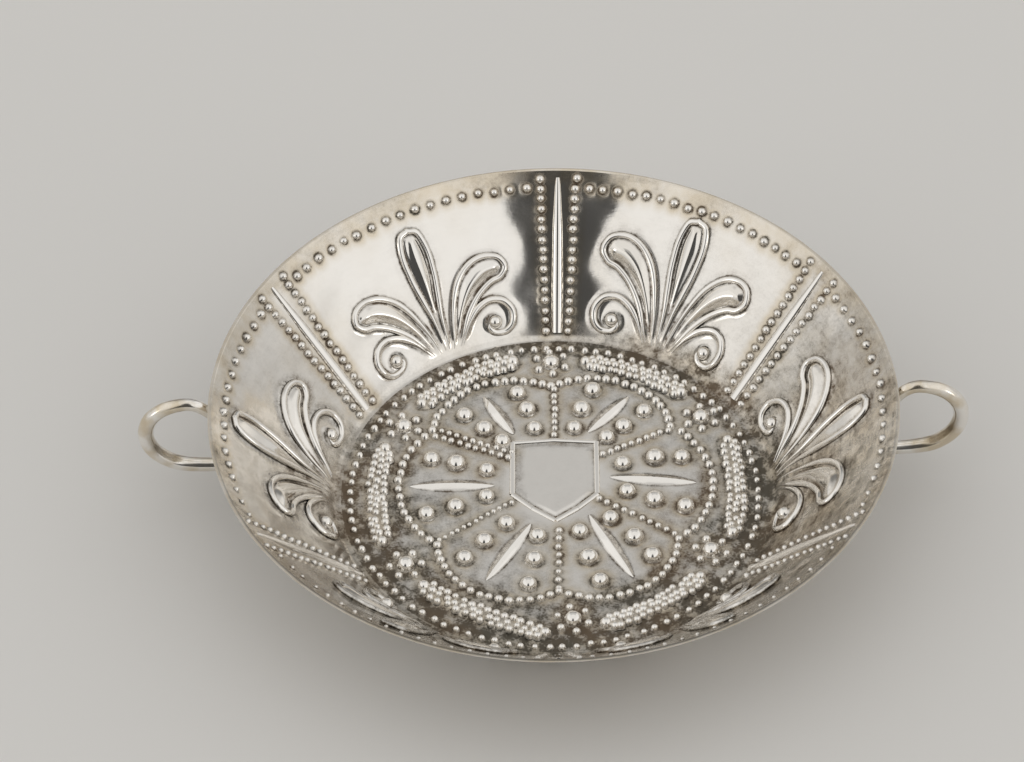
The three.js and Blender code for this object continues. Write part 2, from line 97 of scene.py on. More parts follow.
# Straight rows from the lobes to the shield: two ends, how many beads, and their size as a share
BEAD_LINES = (
    ((0.3, 37), (0.3, 20), 8, 0.8), ((1, -34), (1, -14), 8, 0.8),
    ((-31, 20), (-12, 12), 10, 0.74), ((-29.5, 22), (-11, 13.7), 10, 0.7),
    ((30, 21.5), (13, 13), 10, 0.75), ((-29.5, -17), (-11, -4), 13, 0.58),
    ((31, -15.5), (11.5, -3), 10, 0.75),
)
ROSETTES = ((39, 26), (-0.5, 47), (-39.5, 23.5), (-38, -25.5), (4.5, -44.5), (40, -21.5))
BARS = (
    ((46, -14), (46, 16)), ((33, 36), (10, 47)), ((-12, 47), (-34, 33)),
    ((-44.5, 14), (-44.5, -16)), ((-32, -34), (-4, -48.5)), ((14, -45.5), (36, -31.5)),
)
BAR_BOW = 1.5
SHIELD = ((0, 18.2), (11.2, 17.4), (11.2, -1.2), (6.1, -6.2), (0.3, -10.5), (-5.6, -6.2), (-10.8, -1.2),
          (-10.8, 17.3))
# Each loop's name, azimuth in degrees, and how much higher than drawn it sits
HANDLES = (("handle_right", 2.2, 0.5 * MM), ("handle_left", 179.75, -0.5 * MM))

# Where the first panel of the wall starts, and how far round each goes, in degrees
PANEL_START, PANEL_SPAN = -26, 60
# A rib's ends up the wall in mm, and its width as a share of the widest, at shares of its length
RIB_ENDS = (1.4, 43.2)
RIB_TAPER = ((0, 0.75), (0.03, 0.95), (0.3, 1), (0.7, 0.85), (0.97, 0.45), (1, 0.3))
# Painted shade on the two sides of a spindle: one side darkened, the other left nearly clean
SPINDLE_SHADE = (0.03, 0.5)

# Rows of beads on the wall: the number in a row, and its gap from a rib, in degrees under the rim, and in mm
# at the foot and at the rim beside a rib; the rim's beads are smaller in front, at these azimuths
RIM_ROW_COUNT, RIM_ROW_GAP, RIM_ROW_UP = 17, 5.7, 40.6 * MM
RIB_ROW_COUNT, RIB_ROW_ENDS, RIB_ROW_GAPS = 16, (1.9, 43.0), (2.9, 5.0)
RIM_BEAD_SHARE = ((0, 1), (182, 1), (192, 0.8), (205, 0.55), (330, 0.55), (350, 0.9), (360, 1))
# Rows of beads on the floor, in mm where they are lengths
RING_COUNT, RING_REACH, LOBE_COUNT, PETAL_COUNT, PETAL_REACH, BAR_COUNT = 98, 53, 17, 6, 4.1, 14
# The three rows of a bar: how far out in mm, half steps along, and how high
BAR_ROWS = ((-1.75, 0, 1.0), (0, 1, 1.5), (1.75, 0, 1.0))

# Middle lines of the palmette's ridges, for its left side: across as a share of a side's spread, up as
# a share of the side's reach for the leaf, and of the middle leaf's tip for the scroll
SIDE_LEAF = ((0.10, 0.07), (0.21, 0.42), (0.38, 0.76), (0.58, 0.93), (0.76, 0.975), (0.91, 0.93), (0.97, 0.82),
             (0.90, 0.725), (0.78, 0.685), (0.61, 0.575), (0.43, 0.40), (0.30, 0.22), (0.20, 0.08))
SCROLL = ((0.24, 0.055), (0.40, 0.20), (0.56, 0.29), (0.74, 0.33), (0.91, 0.30), (1.0, 0.22), (0.985, 0.14),
          (0.90, 0.088), (0.80, 0.078), (0.71, 0.09), (0.655, 0.13), (0.675, 0.175))
SCROLL_BALL = (0.745, 0.16)
# Half of the middle leaf: half width in mm, up as a share of its tip
MIDDLE_LEAF = ((0.55, 0.06), (1.15, 0.28), (2.3, 0.46), (3.4, 0.64), (3.75, 0.78), (3.0, 0.92), (0.0, 0.985))

# How tarnished the wall is, and how dark the corner at its foot is, with brown tarnish and painted shade over
# the cove's bright reflection, by azimuth
WALL_TARNISH = ((0, 0.54), (30, 0.37), (38, 0.10), (60, 0.07), (82, 0.03), (120, 0.02), (143, 0.04),
                (153, 0.12), (180, 0.17), (211, 0.32), (240, 0.48), (300, 0.60), (330, 0.70), (360, 0.54))
FOOT_TARNISH_AND_SHADE = ((0, 1.15), (40, 0.95), (70, 0.62), (86, 0.45), (100, 0.12), (140, 0.15), (160, 0.55),
                (200, 0.8), (230, 0.8), (270, 0.9), (330, 1.15), (360, 1.15))


def amount(name, description, default, **more):
    """A setting that is never negative."""
    return FloatProperty(name=name, description=description, default=default, min=0, **more)


def length(name, description, default):
    return amount(name, description, default, unit="LENGTH", precision=5)


def angle(name, description, default):
    return FloatProperty(name=name, description=description, default=default, subtype="ANGLE", precision=4)


def colour(name, description, default):
    return FloatVectorProperty(name=name, description=description, default=default, subtype="COLOR", size=3,
                               min=0, max=1)


class DishSizes(bpy.types.PropertyGroup):
    """Sizes of the plain dish that carries the ornament."""

    rim_radius: length("Rim radius", "Outer radius of the cut edge", DISH_CORNER[0])
    rim_height: length("Rim height", "Height of the rim above the table", DISH_CORNER[2])
    floor_radius: length("Floor radius", "Where the wall's inner face meets the floor", 56.6 * MM)
    cove_radius: length("Cove radius", "Round between the floor and the wall", 3 * MM)
    sheet: length("Sheet", "Thickness of the silver", 0.7 * MM)
    hammering: length("Hammering", "Height of the waves that hammering left", 0.075 * MM)
    flank_height: length("Flank height", "How far the sheet rises under a leaf's ridge", 0.7 * MM)
    flank_width: length("Flank width", "How far outside a ridge the sheet starts to rise", 2.3 * MM)
    groove_height: length("Groove height", "Height of the groove inside a leaf's ridge", 0.25 * MM)
    boss_height: length("Boss height", "How far the leaves swell inside their ridges", 1.7 * MM)
    dome_width: length("Dome width", "Across the side of a leaf's dome", 3.2 * MM)
    spindle_height: length("Spindle height", "Height of a spindle's keel", 1.1 * MM)
    spindle_width: length("Spindle width", "Widest half of a spindle", 2.0 * MM)
    bar_height: length("Bar height", "Height of the mound under a bar's beads", 0.7 * MM)
    bar_width: length("Bar width", "Half the width of a bar", 3.0 * MM)


class OrnamentSizes(bpy.types.PropertyGroup):
    """Sizes of what repeats on the sheet."""

    leaf_ridge: length("Leaf ridge", "Half the width of a leaf's ridge", 0.8 * MM)
    scroll_ridge: length("Scroll ridge", "Half the width of a scroll's ridge", 0.85 * MM)
    rib: length("Rib", "Half the width of a rib where it is widest", 1.5 * MM)
    shield_ridge: length("Shield ridge", "Half the width of the shield's border", 0.72 * MM)
    rim_bead: length("Rim bead", "Radius of the beads under the rim", 1.15 * MM)
    rib_bead: length("Rib bead", "Radius of the beads beside the ribs", 1.12 * MM)
    ring_bead: length("Ring bead", "Radius of the beads round the floor", 1.05 * MM)
    lobe_bead: length("Lobe bead", "Radius of the beads along the lobes", 1.25 * MM)
    large_bead: length("Large bead", "Radius of the large beads beside the spindles", 2.3 * MM)
    boss: length("Rosette boss", "Radius of a rosette's middle", 2.4 * MM)
    petal: length("Rosette petal", "Radius of a rosette's outer beads", 1.12 * MM)
    bar_bead: length("Bar bead", "Radius of the beads of a bar", 1.22 * MM)
    ball: length("Scroll ball", "Radius of the ball that ends a scroll", 1.85 * MM)


class HandleSizes(bpy.types.PropertyGroup):
    """Sizes of the wire loops, as in the part's own solids."""

    arm_height: length("Arm height", "Height of the lower arm", 12 * MM)
    loop_reach: length("Loop reach", "How far the loop stands out from the rim", 16.8 * MM)
    loop_centre: length("Loop centre", "How far the loop's centre is outside the rim", 5 * MM)
    loop_top_drop: length("Loop top drop", "How far the loop's middle line tops out below the rim", 0.6 * MM)
    loop_radius: length("Loop wire radius", "Radius of the wire round the loop", 2.1 * MM)
    foot_radius: length("Foot wire radius", "Radius of the wire at its foot", 1.5 * MM)
    seat_radius: length("Seat wire radius", "Radius of the wire at its seat", 1.7 * MM)
    tail_radius: length("Tail wire radius", "Radius of the wire at the end of its tail", 1.25 * MM)


class SilverLook(bpy.types.PropertyGroup):
    """Colours of the silver, of its tarnish and of the shade painted into it."""

    silver: colour("Silver", "Clean silver", (0.93, 0.905, 0.865))
    tarnish: colour("Tarnish", "Tarnish deep in the relief", (0.105, 0.093, 0.073))
    brown: colour("Brown tarnish", "Browner patches of the tarnish", (0.155, 0.113, 0.076))
    haze: colour("Haze", "Thin yellow film beside the beads", (0.72, 0.63, 0.49))
    solder: colour("Solder", "Dull solder", (0.62, 0.60, 0.56))
    polish: amount("Polish", "Roughness of clean silver", 0.045, max=1)
    dullness: amount("Dullness", "Roughness of tarnished silver", 0.5, max=1)


class StageLook(bpy.types.PropertyGroup):
    """The floor, the lights and the place of the camera."""

    floor: colour("Floor", "Colour of the floor", (0.78, 0.77, 0.75))
    side_light: amount("Side lights", "Power of each broad side light", 0.6, subtype="POWER")
    around: amount("Surroundings", "Brightness of the pale walls and ceiling", 0.82)
    low: amount("Low down", "Brightness of the surroundings near the table", 0.58)
    front: amount("Above the camera", "Brightness above the camera", 0.42)
    hot: amount("Hot spots", "Extra brightness low on both sides of the camera", 1.3)
    back: amount("Back", "Brightness behind the dish", 0.55)
    gap: amount("Gap", "Brightness of the gap under the camera, between the side lights", 0.07)
    camera_distance: length("Camera distance", "From the middle of the base", 987.47 * MM)
    camera_elevation: angle("Camera elevation", "Above the table", 0.8166)
    camera_yaw: angle("Camera yaw", "Turn of the view to one side", -0.0108)
    camera_pitch: angle("Camera pitch", "Turn of the view up or down", 0.0294)
    camera_roll: angle("Camera roll", "Turn of the view about its axis", 0.0089)
    lens: amount("Lens", "Focal length on a 36 mm wide frame, in mm", 133.70)


def polar(radius, turn, z):
    """Points at a radius from the dish's axis, a turn about it in radians, and a height."""
    return np.stack(np.broadcast_arrays(radius * np.cos(turn), radius * np.sin(turn), z), -1)


class Form:
    """The plain dish, worked out from its sizes: where its inner face is and which way it points."""

    def __init__(self, sizes):
        self.sheet = sizes.sheet
        self.cove = sizes.cove_radius
        self.floor_radius = sizes.floor_radius
        self.rim_radius = sizes.rim_radius
        self.rim_height = sizes.rim_height
        run = sizes.rim_radius - sizes.floor_radius
        rise = sizes.rim_height - sizes.sheet
        self.slope = math.atan2(rise, run) + math.asin(sizes.sheet / math.hypot(run, rise))
        self.wall_length = rise / math.sin(self.slope)
        self.cove_reach = self.cove * math.tan(self.slope / 2)
        self.cove_length = self.cove * self.slope
        self.flat_radius = self.floor_radius - self.cove_reach
        self.length = self.cove_length + self.wall_length - self.cove_reach

    def radius(self, up):
        return self.floor_radius + up * math.cos(self.slope)

    def wall(self, azimuth, up, out=0.0):
        """Points and normals at azimuths in degrees and distances up the wall's inner face, in metres."""
        turn = np.radians(azimuth)
        radius = self.radius(up) - out * math.sin(self.slope)
        z = self.sheet + up * math.sin(self.slope) + out * math.cos(self.slope)
        return polar(radius, turn, z), polar(-math.sin(self.slope), turn, math.cos(self.slope))

    def floor(self, places, out=0.0):
        """Points and normals at x, y places on the floor's inner face, in metres."""
        points = np.insert(np.asarray(places, float), 2, self.sheet + out, axis=-1)
        return points, np.broadcast_to([0.0, 0.0, 1.0], points.shape)

    def section(self, along):
        """Radius, height, slant and distance up the wall at lengths along the section, from the cove's foot."""
        turn = np.clip(along / self.cove, 0, self.slope)
        past = np.maximum(along - self.cove_length, 0)
        radius = self.flat_radius + self.cove * np.sin(turn) + past * math.cos(self.slope)
        z = self.sheet + self.cove * (1 - np.cos(turn)) + past * math.sin(self.slope)
        up = self.cove_reach * turn / self.slope + past
        return radius, z, turn, up


def ease(t):
    """A smooth step from 0 to 1."""
    t = np.clip(t, 0, 1)
    return t * t * (3 - 2 * t)


def bell(distance, middle, width):
    """1 at the middle distance, fading over the width to both sides."""
    return np.exp(-(((distance - middle) / width) ** 2))


def raise_to(values, near, others):
    """Lifts the chosen values to at least the others."""
    values[near] = np.maximum(values[near], others)


def between(t, low, high, at_low, at_high):
    """What lies at t on the way from at_low at low to at_high at high."""
    return ((high - t) * at_low + (t - low) * at_high) / (high - low)


def smooth_line(points, steps):
    """A smooth line through points, with steps stretches between each two."""
    p = np.asarray(points, float)
    ends = np.concatenate([[2 * p[0] - p[1]], p, [2 * p[-1] - p[-2]]])
    gaps = np.sqrt(np.linalg.norm(np.diff(ends, axis=0), axis=1))
    knots = np.concatenate([[0], np.cumsum(gaps)])
    line = []
    for i in range(1, len(ends) - 2):
        t = np.linspace(knots[i], knots[i + 1], steps, endpoint=False)[:, None]
        a, b, c, d = ends[i - 1:i + 3]
        ka, kb, kc, kd = knots[i - 1:i + 3]
        ab, bc, cd = between(t, ka, kb, a, b), between(t, kb, kc, b, c), between(t, kc, kd, c, d)
        line.append(between(t, kb, kc, between(t, ka, kc, ab, bc), between(t, kb, kd, bc, cd)))
    return np.concatenate([*line, p[-1:]])


def circle_through(a, b, c, count):
    """count points from a past b to c on the circle through them, evenly spaced."""
    (ax, ay), (bx, by), (cx, cy) = a, b, c
    d = 2 * (ax * (by - cy) + bx * (cy - ay) + cx * (ay - by))
    aa, bb, cc = ax * ax + ay * ay, bx * bx + by * by, cx * cx + cy * cy
    x = (aa * (by - cy) + bb * (cy - ay) + cc * (ay - by)) / d
    y = (aa * (cx - bx) + bb * (ax - cx) + cc * (bx - ax)) / d
    start, middle, end = (math.atan2(q[1] - y, q[0] - x) for q in (a, b, c))
    sweep = (end - start) % math.tau
    if (middle - start) % math.tau > sweep:
        sweep -= math.tau
    turn = start + sweep * np.linspace(0, 1, count)
    return polar(math.hypot(ax - x, ay - y), turn, 0)[:, :2] + (x, y)


def bar_line(ends, count):
    """Points along a bar's middle line, bowed outward from the middle of the dish."""
    a, b = np.asarray(ends, float)
    middle = (a + b) / 2
    return circle_through(a, middle + BAR_BOW * middle / np.linalg.norm(middle), b, count)


def to_segments(points, a, b):
    """Distance from each point to the nearest of the segments a-b, one at a time to spare memory."""
    nearest = np.full(len(points), np.inf)
    span = b - a
    square = np.maximum((span ** 2).sum(-1), 1e-18)
    for i in range(len(a)):
        t = np.clip(((points - a[i]) @ span[i]) / square[i], 0, 1)
        gap = points - a[i] - t[:, None] * span[i]
        np.minimum(nearest, (gap ** 2).sum(-1), out=nearest)
    return np.sqrt(nearest)


def inside_depth(points, outline):
    """How deep each 2-D point lies inside a closed outline, negative outside."""
    a, b = outline, np.roll(outline, -1, axis=0)
    depth = to_segments(points, a, b)
    x, y = points[:, :1], points[:, 1:]
    straddles = (a[:, 1] > y) != (b[:, 1] > y)
    with np.errstate(divide="ignore", invalid="ignore"):
        cross = (b[:, 0] - a[:, 0]) * (y - a[:, 1]) / (b[:, 1] - a[:, 1]) + a[:, 0]
    inside = (straddles & (x < cross)).sum(1) % 2 == 1
    return np.where(inside, depth, -depth)


def softened(values, rows, passes):
    """A grid of values averaged with their neighbours a few times."""
    grid = values.reshape(rows, -1)
    for _ in range(passes):
        for axis in (0, 1):
            padded = np.concatenate([grid.take([0], axis), grid, grid.take([-1], axis)], axis)
            count = grid.shape[axis]
            low, high = padded.take(range(count), axis), padded.take(range(2, count + 2), axis)
            grid = (low + 2 * grid + high) / 4
    return grid.ravel()


def waves(points, shortest, longest, count, seed):
    """Smooth unevenness between about -1 and 1 at points in space."""
    rng = np.random.default_rng(seed)
    total = np.zeros(points.shape[:-1])
    for _ in range(count):
        way = rng.normal(size=3)
        way *= math.tau / (rng.uniform(shortest, longest) * np.linalg.norm(way))
        total += np.sin(points @ way + rng.uniform(0, math.tau))
    return total / math.sqrt(count)


def hammered(points, sizes):
    """Waves that hammering left in the sheet."""
    return sizes.hammering * waves(points, 9 * MM, 26 * MM, 24, HAMMER_SEED)


def foot_fade(up):
    """How much of the palmettes' relief is left near the wall's foot."""
    return ease((up - 1.0 * MM) / (5.0 * MM))


def palmette_lines(palmette, form):
    """The ridges of a palmette: what each is, and its line of (azimuth in degrees, up in mm)."""
    centre, tip = palmette["azimuth"], palmette["tip"]
    half = smooth_line(MIDDLE_LEAF, 6)
    whole = np.concatenate([half * (-1, 1), half[::-1][1:]])
    radius = form.radius(whole[:, 1] * tip * MM) / MM
    lines = [("leaf", np.stack([centre - np.degrees(whole[:, 0] / radius), whole[:, 1] * tip], -1))]
    leaf, scroll = smooth_line(SIDE_LEAF, 5), smooth_line(SCROLL, 6)
    for way, (spread, reach) in ((1, palmette["left"]), (-1, palmette["right"])):
        lines.append(("leaf", leaf * (way * spread, reach) + (centre, 0)))
        lines.append(("scroll", scroll * (way * spread, tip) + (centre, 0)))
    return lines


def scroll_balls(palmette):
    """Where a palmette's two scrolls end: azimuth in degrees and distance up the wall in metres."""
    for way, (spread, _) in ((1, palmette["left"]), (-1, palmette["right"])):
        yield (np.array([palmette["azimuth"] + way * spread * SCROLL_BALL[0]]),
               np.array([palmette["tip"] * SCROLL_BALL[1] * MM]))


def leaf_section(depth, sizes):
    """Height of the sheet across a leaf: a flank outside its ridge, then a groove and a domed middle."""
    outside = sizes.flank_height * np.clip(1 + depth / sizes.flank_width, 0, 1) ** 2.4
    inward = ease((depth - 0.2 * MM) / (0.75 * MM))
    dome = np.clip((depth - 1.05 * MM) / sizes.dome_width, 0, 1)
    inside = sizes.flank_height + (sizes.groove_height - sizes.flank_height) * inward
    inside += (sizes.boss_height - sizes.groove_height) * (1 - (1 - dome) ** 1.8)
    return np.where(depth < 0, outside, inside)


def unrolled(azimuth, up, centre, form):
    """Flat coordinates in metres near a palmette: along the wall's round, and up it."""
    across = np.radians((azimuth - centre + 180) % 360 - 180) * form.radius(up)
    return np.stack([across, up], -1)


def wall_beads(ornament, form):
    """Rows of (azimuths, ups in metres, radii) for the beads under the rim and beside the ribs."""
    rng = np.random.default_rng(WALL_BEAD_SEED)
    rows = {"rim_beads": [], "rib_beads": []}
    for rib, following in zip(RIBS, (*RIBS[1:], RIBS[0] + 360)):
        count = RIM_ROW_COUNT
        azimuth = np.linspace(rib + RIM_ROW_GAP, following - RIM_ROW_GAP, count) + rng.normal(0, 0.12, count)
        up = RIM_ROW_UP + rng.normal(0, 0.18, count) * MM
        size = ornament.rim_bead * np.interp(azimuth % 360, *zip(*RIM_BEAD_SHARE))
        rows["rim_beads"].append((azimuth, up, size * rng.uniform(0.88, 1.1, count)))
        count = RIB_ROW_COUNT
        for way in (1, -1):
            up = (np.linspace(*RIB_ROW_ENDS, count) + rng.normal(0, 0.1, count)) * MM
            side = np.interp(up, (0, form.wall_length), RIB_ROW_GAPS) * MM
            azimuth = rib + way * np.degrees(side / form.radius(up)) + rng.normal(0, 0.08, count)
            size = ornament.rib_bead * (0.75 if rib > 180 else 1)
            rows["rib_beads"].append((azimuth, up, size * rng.uniform(0.9, 1.08, count)))
    return rows


def floor_beads(ornament):
    """Groups of (places in mm, radii in metres, lift in metres) for the beads of the floor."""
    rng = np.random.default_rng(FLOOR_BEAD_SEED)
    names = ("ring_beads", "lobe_beads", "large_beads", "rosette_bosses", "rosette_beads", "bar_beads")
    groups = {name: [] for name in names}

    def put(name, places, radius, least, most, lift=0.0):
        """Adds a row to a group, each bead a little smaller or larger than the radius."""
        groups[name].append((places, radius * rng.uniform(least, most, len(places)), lift))

    turn = np.linspace(0, math.tau, RING_COUNT, endpoint=False) + rng.normal(0, 0.004, RING_COUNT)
    reach = RING_REACH - 0.7 * np.sin(turn) + rng.normal(0, 0.12, RING_COUNT)
    put("ring_beads", polar(reach, turn, 0)[:, :2], ornament.ring_bead, 0.88, 1.08)
    for start, reach, end in zip(LOBE_CUSPS, LOBE_REACHES, (*LOBE_CUSPS[1:], LOBE_CUSPS[0])):
        lobe = circle_through(start, reach, end, LOBE_COUNT)[:-1]
        put("lobe_beads", lobe + rng.normal(0, 0.12, lobe.shape), ornament.lobe_bead, 0.88, 1.08)
    for start, end, count, share in BEAD_LINES:
        line = np.linspace(start, end, count) + rng.normal(0, 0.1, (count, 2))
        put("lobe_beads", line, ornament.lobe_bead * share, 0.9, 1.08)
    for row in LARGE_BEADS:
        put("large_beads", np.array(row), ornament.large_bead * np.array([1.0, 1.06, 0.97]), 0.96, 1.06)
    for centre in ROSETTES:
        turn = np.linspace(0, math.tau, PETAL_COUNT, endpoint=False) + rng.uniform(0, 1)
        put("rosette_beads", centre + polar(PETAL_REACH, turn, 0)[:, :2], ornament.petal, 0.9, 1.15)
        groups["rosette_bosses"].append((np.array([centre]), np.array([ornament.boss]), 0.0))
    lift = 0.45 * bpy.context.scene.dish_sizes.bar_height
    for ends in BARS:
        line = bar_line(ends, BAR_COUNT)
        outward = line / np.linalg.norm(line, axis=1, keepdims=True)
        step = (line[1] - line[0]) / 2
        for side, shift, raised in BAR_ROWS:
            row = (line + side * outward)[:len(line) - shift] + shift * step
            put("bar_beads", row + rng.normal(0, 0.22, row.shape), ornament.bar_bead, 0.78, 1.08, raised * lift)
        tips = np.stack([line[0] - 1.3 * step, line[-1] + 1.3 * (line[-1] - line[-2]) / 2])
        groups["bar_beads"].append((tips, ornament.bar_bead * np.array([1.5, 1.3]), 0.5 * lift))
    return groups


def wall_relief(azimuth, up, form, sizes, palmette):
    """Height of the sheet over its plain form near a palmette, how tarnished it is, with painted shade round
    the palmette, and how rubbed.
    """
    ornament = bpy.context.scene.ornament_sizes
    centre = palmette["azimuth"]
    flat = unrolled(azimuth, up, centre, form)
    flank, tarnish, rubbed = np.zeros((3, len(flat)))
    nowhere = -1.0
    inner = np.full(len(flat), nowhere)
    for kind, line in palmette_lines(palmette, form):
        at = unrolled(line[:, 0], line[:, 1] * MM, centre, form)
        margin = 4 * MM
        near = ((flat > at.min(0) - margin) & (flat < at.max(0) + margin)).all(1)
        if kind == "leaf":
            depth = inside_depth(flat[near], at)
            height = leaf_section(depth, sizes)
            raise_to(flank, near, np.where(depth > 0, 0, height))
            raise_to(inner, near, np.where(depth > 0, height, nowhere))
            raise_to(tarnish, near, bell(depth, ornament.leaf_ridge + 0.22 * MM, 0.32 * MM))
            raise_to(rubbed, near, ease((depth - 1.2 * MM) / (0.7 * MM)))
            edge = -depth - ornament.leaf_ridge
        else:
            gap = to_segments(flat[near], at[:-1], at[1:])
            raise_to(flank, near, sizes.flank_height * np.clip(1 - gap / sizes.flank_width, 0, 1) ** 2)
            edge = gap - ornament.scroll_ridge
        # Smudges of tarnish and painted shade within about 2 mm outside each ridge, stronger on some panels
        # than on others
        soiled_and_shaded = palmette["soil_and_shade"] * bell(np.maximum(edge, 0), 0, 2.2 * MM) * (edge > -0.3 * MM)
        raise_to(tarnish, near, np.maximum(0.85 * bell(edge, 0.18 * MM, 0.32 * MM), soiled_and_shaded))
    for place in scroll_balls(palmette):
        gap = np.linalg.norm(flat - unrolled(*place, centre, form), axis=1)
        flank = np.maximum(flank, 0.4 * MM * np.clip(1 - (gap - 1.4 * MM) / (1.6 * MM), 0, 1))
        tarnish = np.maximum(tarnish, 0.85 * bell(gap, 2.15 * MM, 0.45 * MM))
    height = np.where(inner > nowhere / 2, inner, flank) * foot_fade(up)
    return height, tarnish * ease((up - 2 * MM) / (4 * MM)), rubbed


def bead_halo(points, centres, radii, spread=0.2 * MM, strength=None):
    """Tarnish and film round beads, and the shallow dent that the punch left round each."""
    tarnish, haze, dent = np.zeros((3, len(points)))
    for centre, radius, dark in zip(centres, radii, np.ones(len(radii)) if strength is None else strength):
        near = np.abs(points - centre).max(-1) < radius + 3 * MM
        gap = np.linalg.norm(points[near] - centre, axis=-1) - radius
        outside = np.maximum(gap, 0)
        raise_to(tarnish, near, dark * bell(outside, 0, spread + 0.25 * radius))
        raise_to(haze, near, 1.2 * bell(outside, 0, 2.0 * MM))
        raise_to(dent, near, bell(gap, 0.35 * MM, 0.55 * MM))
    return tarnish, haze, dent


def dimples(points, centres, radii):
    """Hollows that the beads leave on the sheet's reverse, as a height."""
    return 0.55 * MM * bead_halo(points, centres, radii * 0.4)[0]


def new_mesh(name, points, faces=(), edges=(), sharp_from=None, **attributes):
    """A smooth mesh object at the origin with a named value at each point for its material."""
    mesh = bpy.data.meshes.new(name)
    mesh.from_pydata(points.reshape(-1, 3), edges, faces)
    for attribute, values in attributes.items():
        kind = "FLOAT_VECTOR" if np.ndim(values) == 2 else "FLOAT"
        layer = mesh.attributes.new(attribute, kind, "POINT")
        layer.data.foreach_set("vector" if kind == "FLOAT_VECTOR" else "value", np.ravel(values))
    mesh.shade_smooth()
    mesh.validate()
    mesh.update()
    if sharp_from:
        mesh.set_sharp_from_angle(angle=math.radians(sharp_from))
    return linked(name, mesh)


def linked(name, data):
    """A new object in the scene."""
    thing = bpy.data.objects.new(name, data)
    bpy.context.scene.collection.objects.link(thing)
    return thing


def grid_faces(rows, columns, flip):
    """Quads of a grid of rows times columns points."""
    at = np.arange(rows * columns).reshape(rows, columns)
    quads = np.stack([at[:-1, :-1], at[:-1, 1:], at[1:, 1:], at[1:, :-1]], -1).reshape(-1, 4)
    return quads[:, ::-1] if flip else quads


def tube_faces(rings, sides):
    """Quads round a tube of rings times sides points, closed by a fan to one more point."""
    faces = []
    for ring in range(rings - 1):
        for i in range(sides):
            a, b = ring * sides + i, ring * sides + (i + 1) % sides
            faces.append((a, b, b + sides, a + sides))
    last = (rings - 1) * sides
    return faces + [(last + i, last + (i + 1) % sides, rings * sides) for i in range(sides)]


def finish(piece, node):
    """Hands a finished piece to the frame: it rides with the dish and stands in for a node, which is hidden."""
    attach(piece, "root")
    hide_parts(node)


def once(things, name, make, *details):
    """What has this name among the things, made first if it isn't there."""
    return things[name] if name in things else make(name, *details)


def opaque(rgb):
    return (*rgb, 1)


class Wiring:
    """Short ways to add nodes to a tree and to wire them up."""

    def __init__(self, tree):
        self.tree = tree

    def fill(self, socket, value):
        """Wires a socket to another, or sets its constant."""
        if isinstance(value, bpy.types.NodeSocket):
            self.tree.links.new(value, socket)
        else:
            socket.default_value = value

    def add(self, kind, inputs=(), **settings):
        """A node with its settings made and its inputs filled, by name or in order."""
        node = self.tree.nodes.new(kind)
        for name, value in settings.items():
            setattr(node, name, value)
        for key, value in inputs.items() if isinstance(inputs, dict) else enumerate(inputs):
            self.fill(node.inputs[key], value)
        return node

    def maths(self, operation, *values):
        return self.add("ShaderNodeMath", values, operation=operation).outputs[0]

    def remap(self, value, low, high, at_low, at_high, kind="LINEAR"):
        values = (value, low, high, at_low, at_high)
        return self.add("ShaderNodeMapRange", values, interpolation_type=kind).outputs["Result"]

    def noise(self, place, scale, detail, rough=0.5):
        inputs = {"Vector": place, "Scale": scale, "Detail": detail, "Roughness": rough}
        return self.add("ShaderNodeTexNoise", inputs).outputs["Fac"]

    def mix(self, share, a, b):
        inputs = {"Factor": share, "A": a, "B": b}
        return self.add("ShaderNodeMix", inputs, data_type="RGBA").outputs["Result"]

    def bump(self, height, strength, distance):
        inputs = {"Height": height, "Strength": strength, "Distance": distance}
        return self.add("ShaderNodeBump", inputs).outputs["Normal"]

    def axes(self, vector):
        parts = self.add("ShaderNodeSeparateXYZ", {"Vector": vector}).outputs
        return parts["X"], parts["Y"], parts["Z"]


def metal(name):
    """A new metal: the material, its wiring, its shader's inputs and the object's coordinates."""
    material = bpy.data.materials.new(name)
    material.use_nodes = True
    shader = material.node_tree.nodes["Principled BSDF"].inputs
    shader["Metallic"].default_value = 1.0
    wiring = Wiring(material.node_tree)
    return material, wiring, shader, wiring.add("ShaderNodeTexCoord").outputs["Object"]


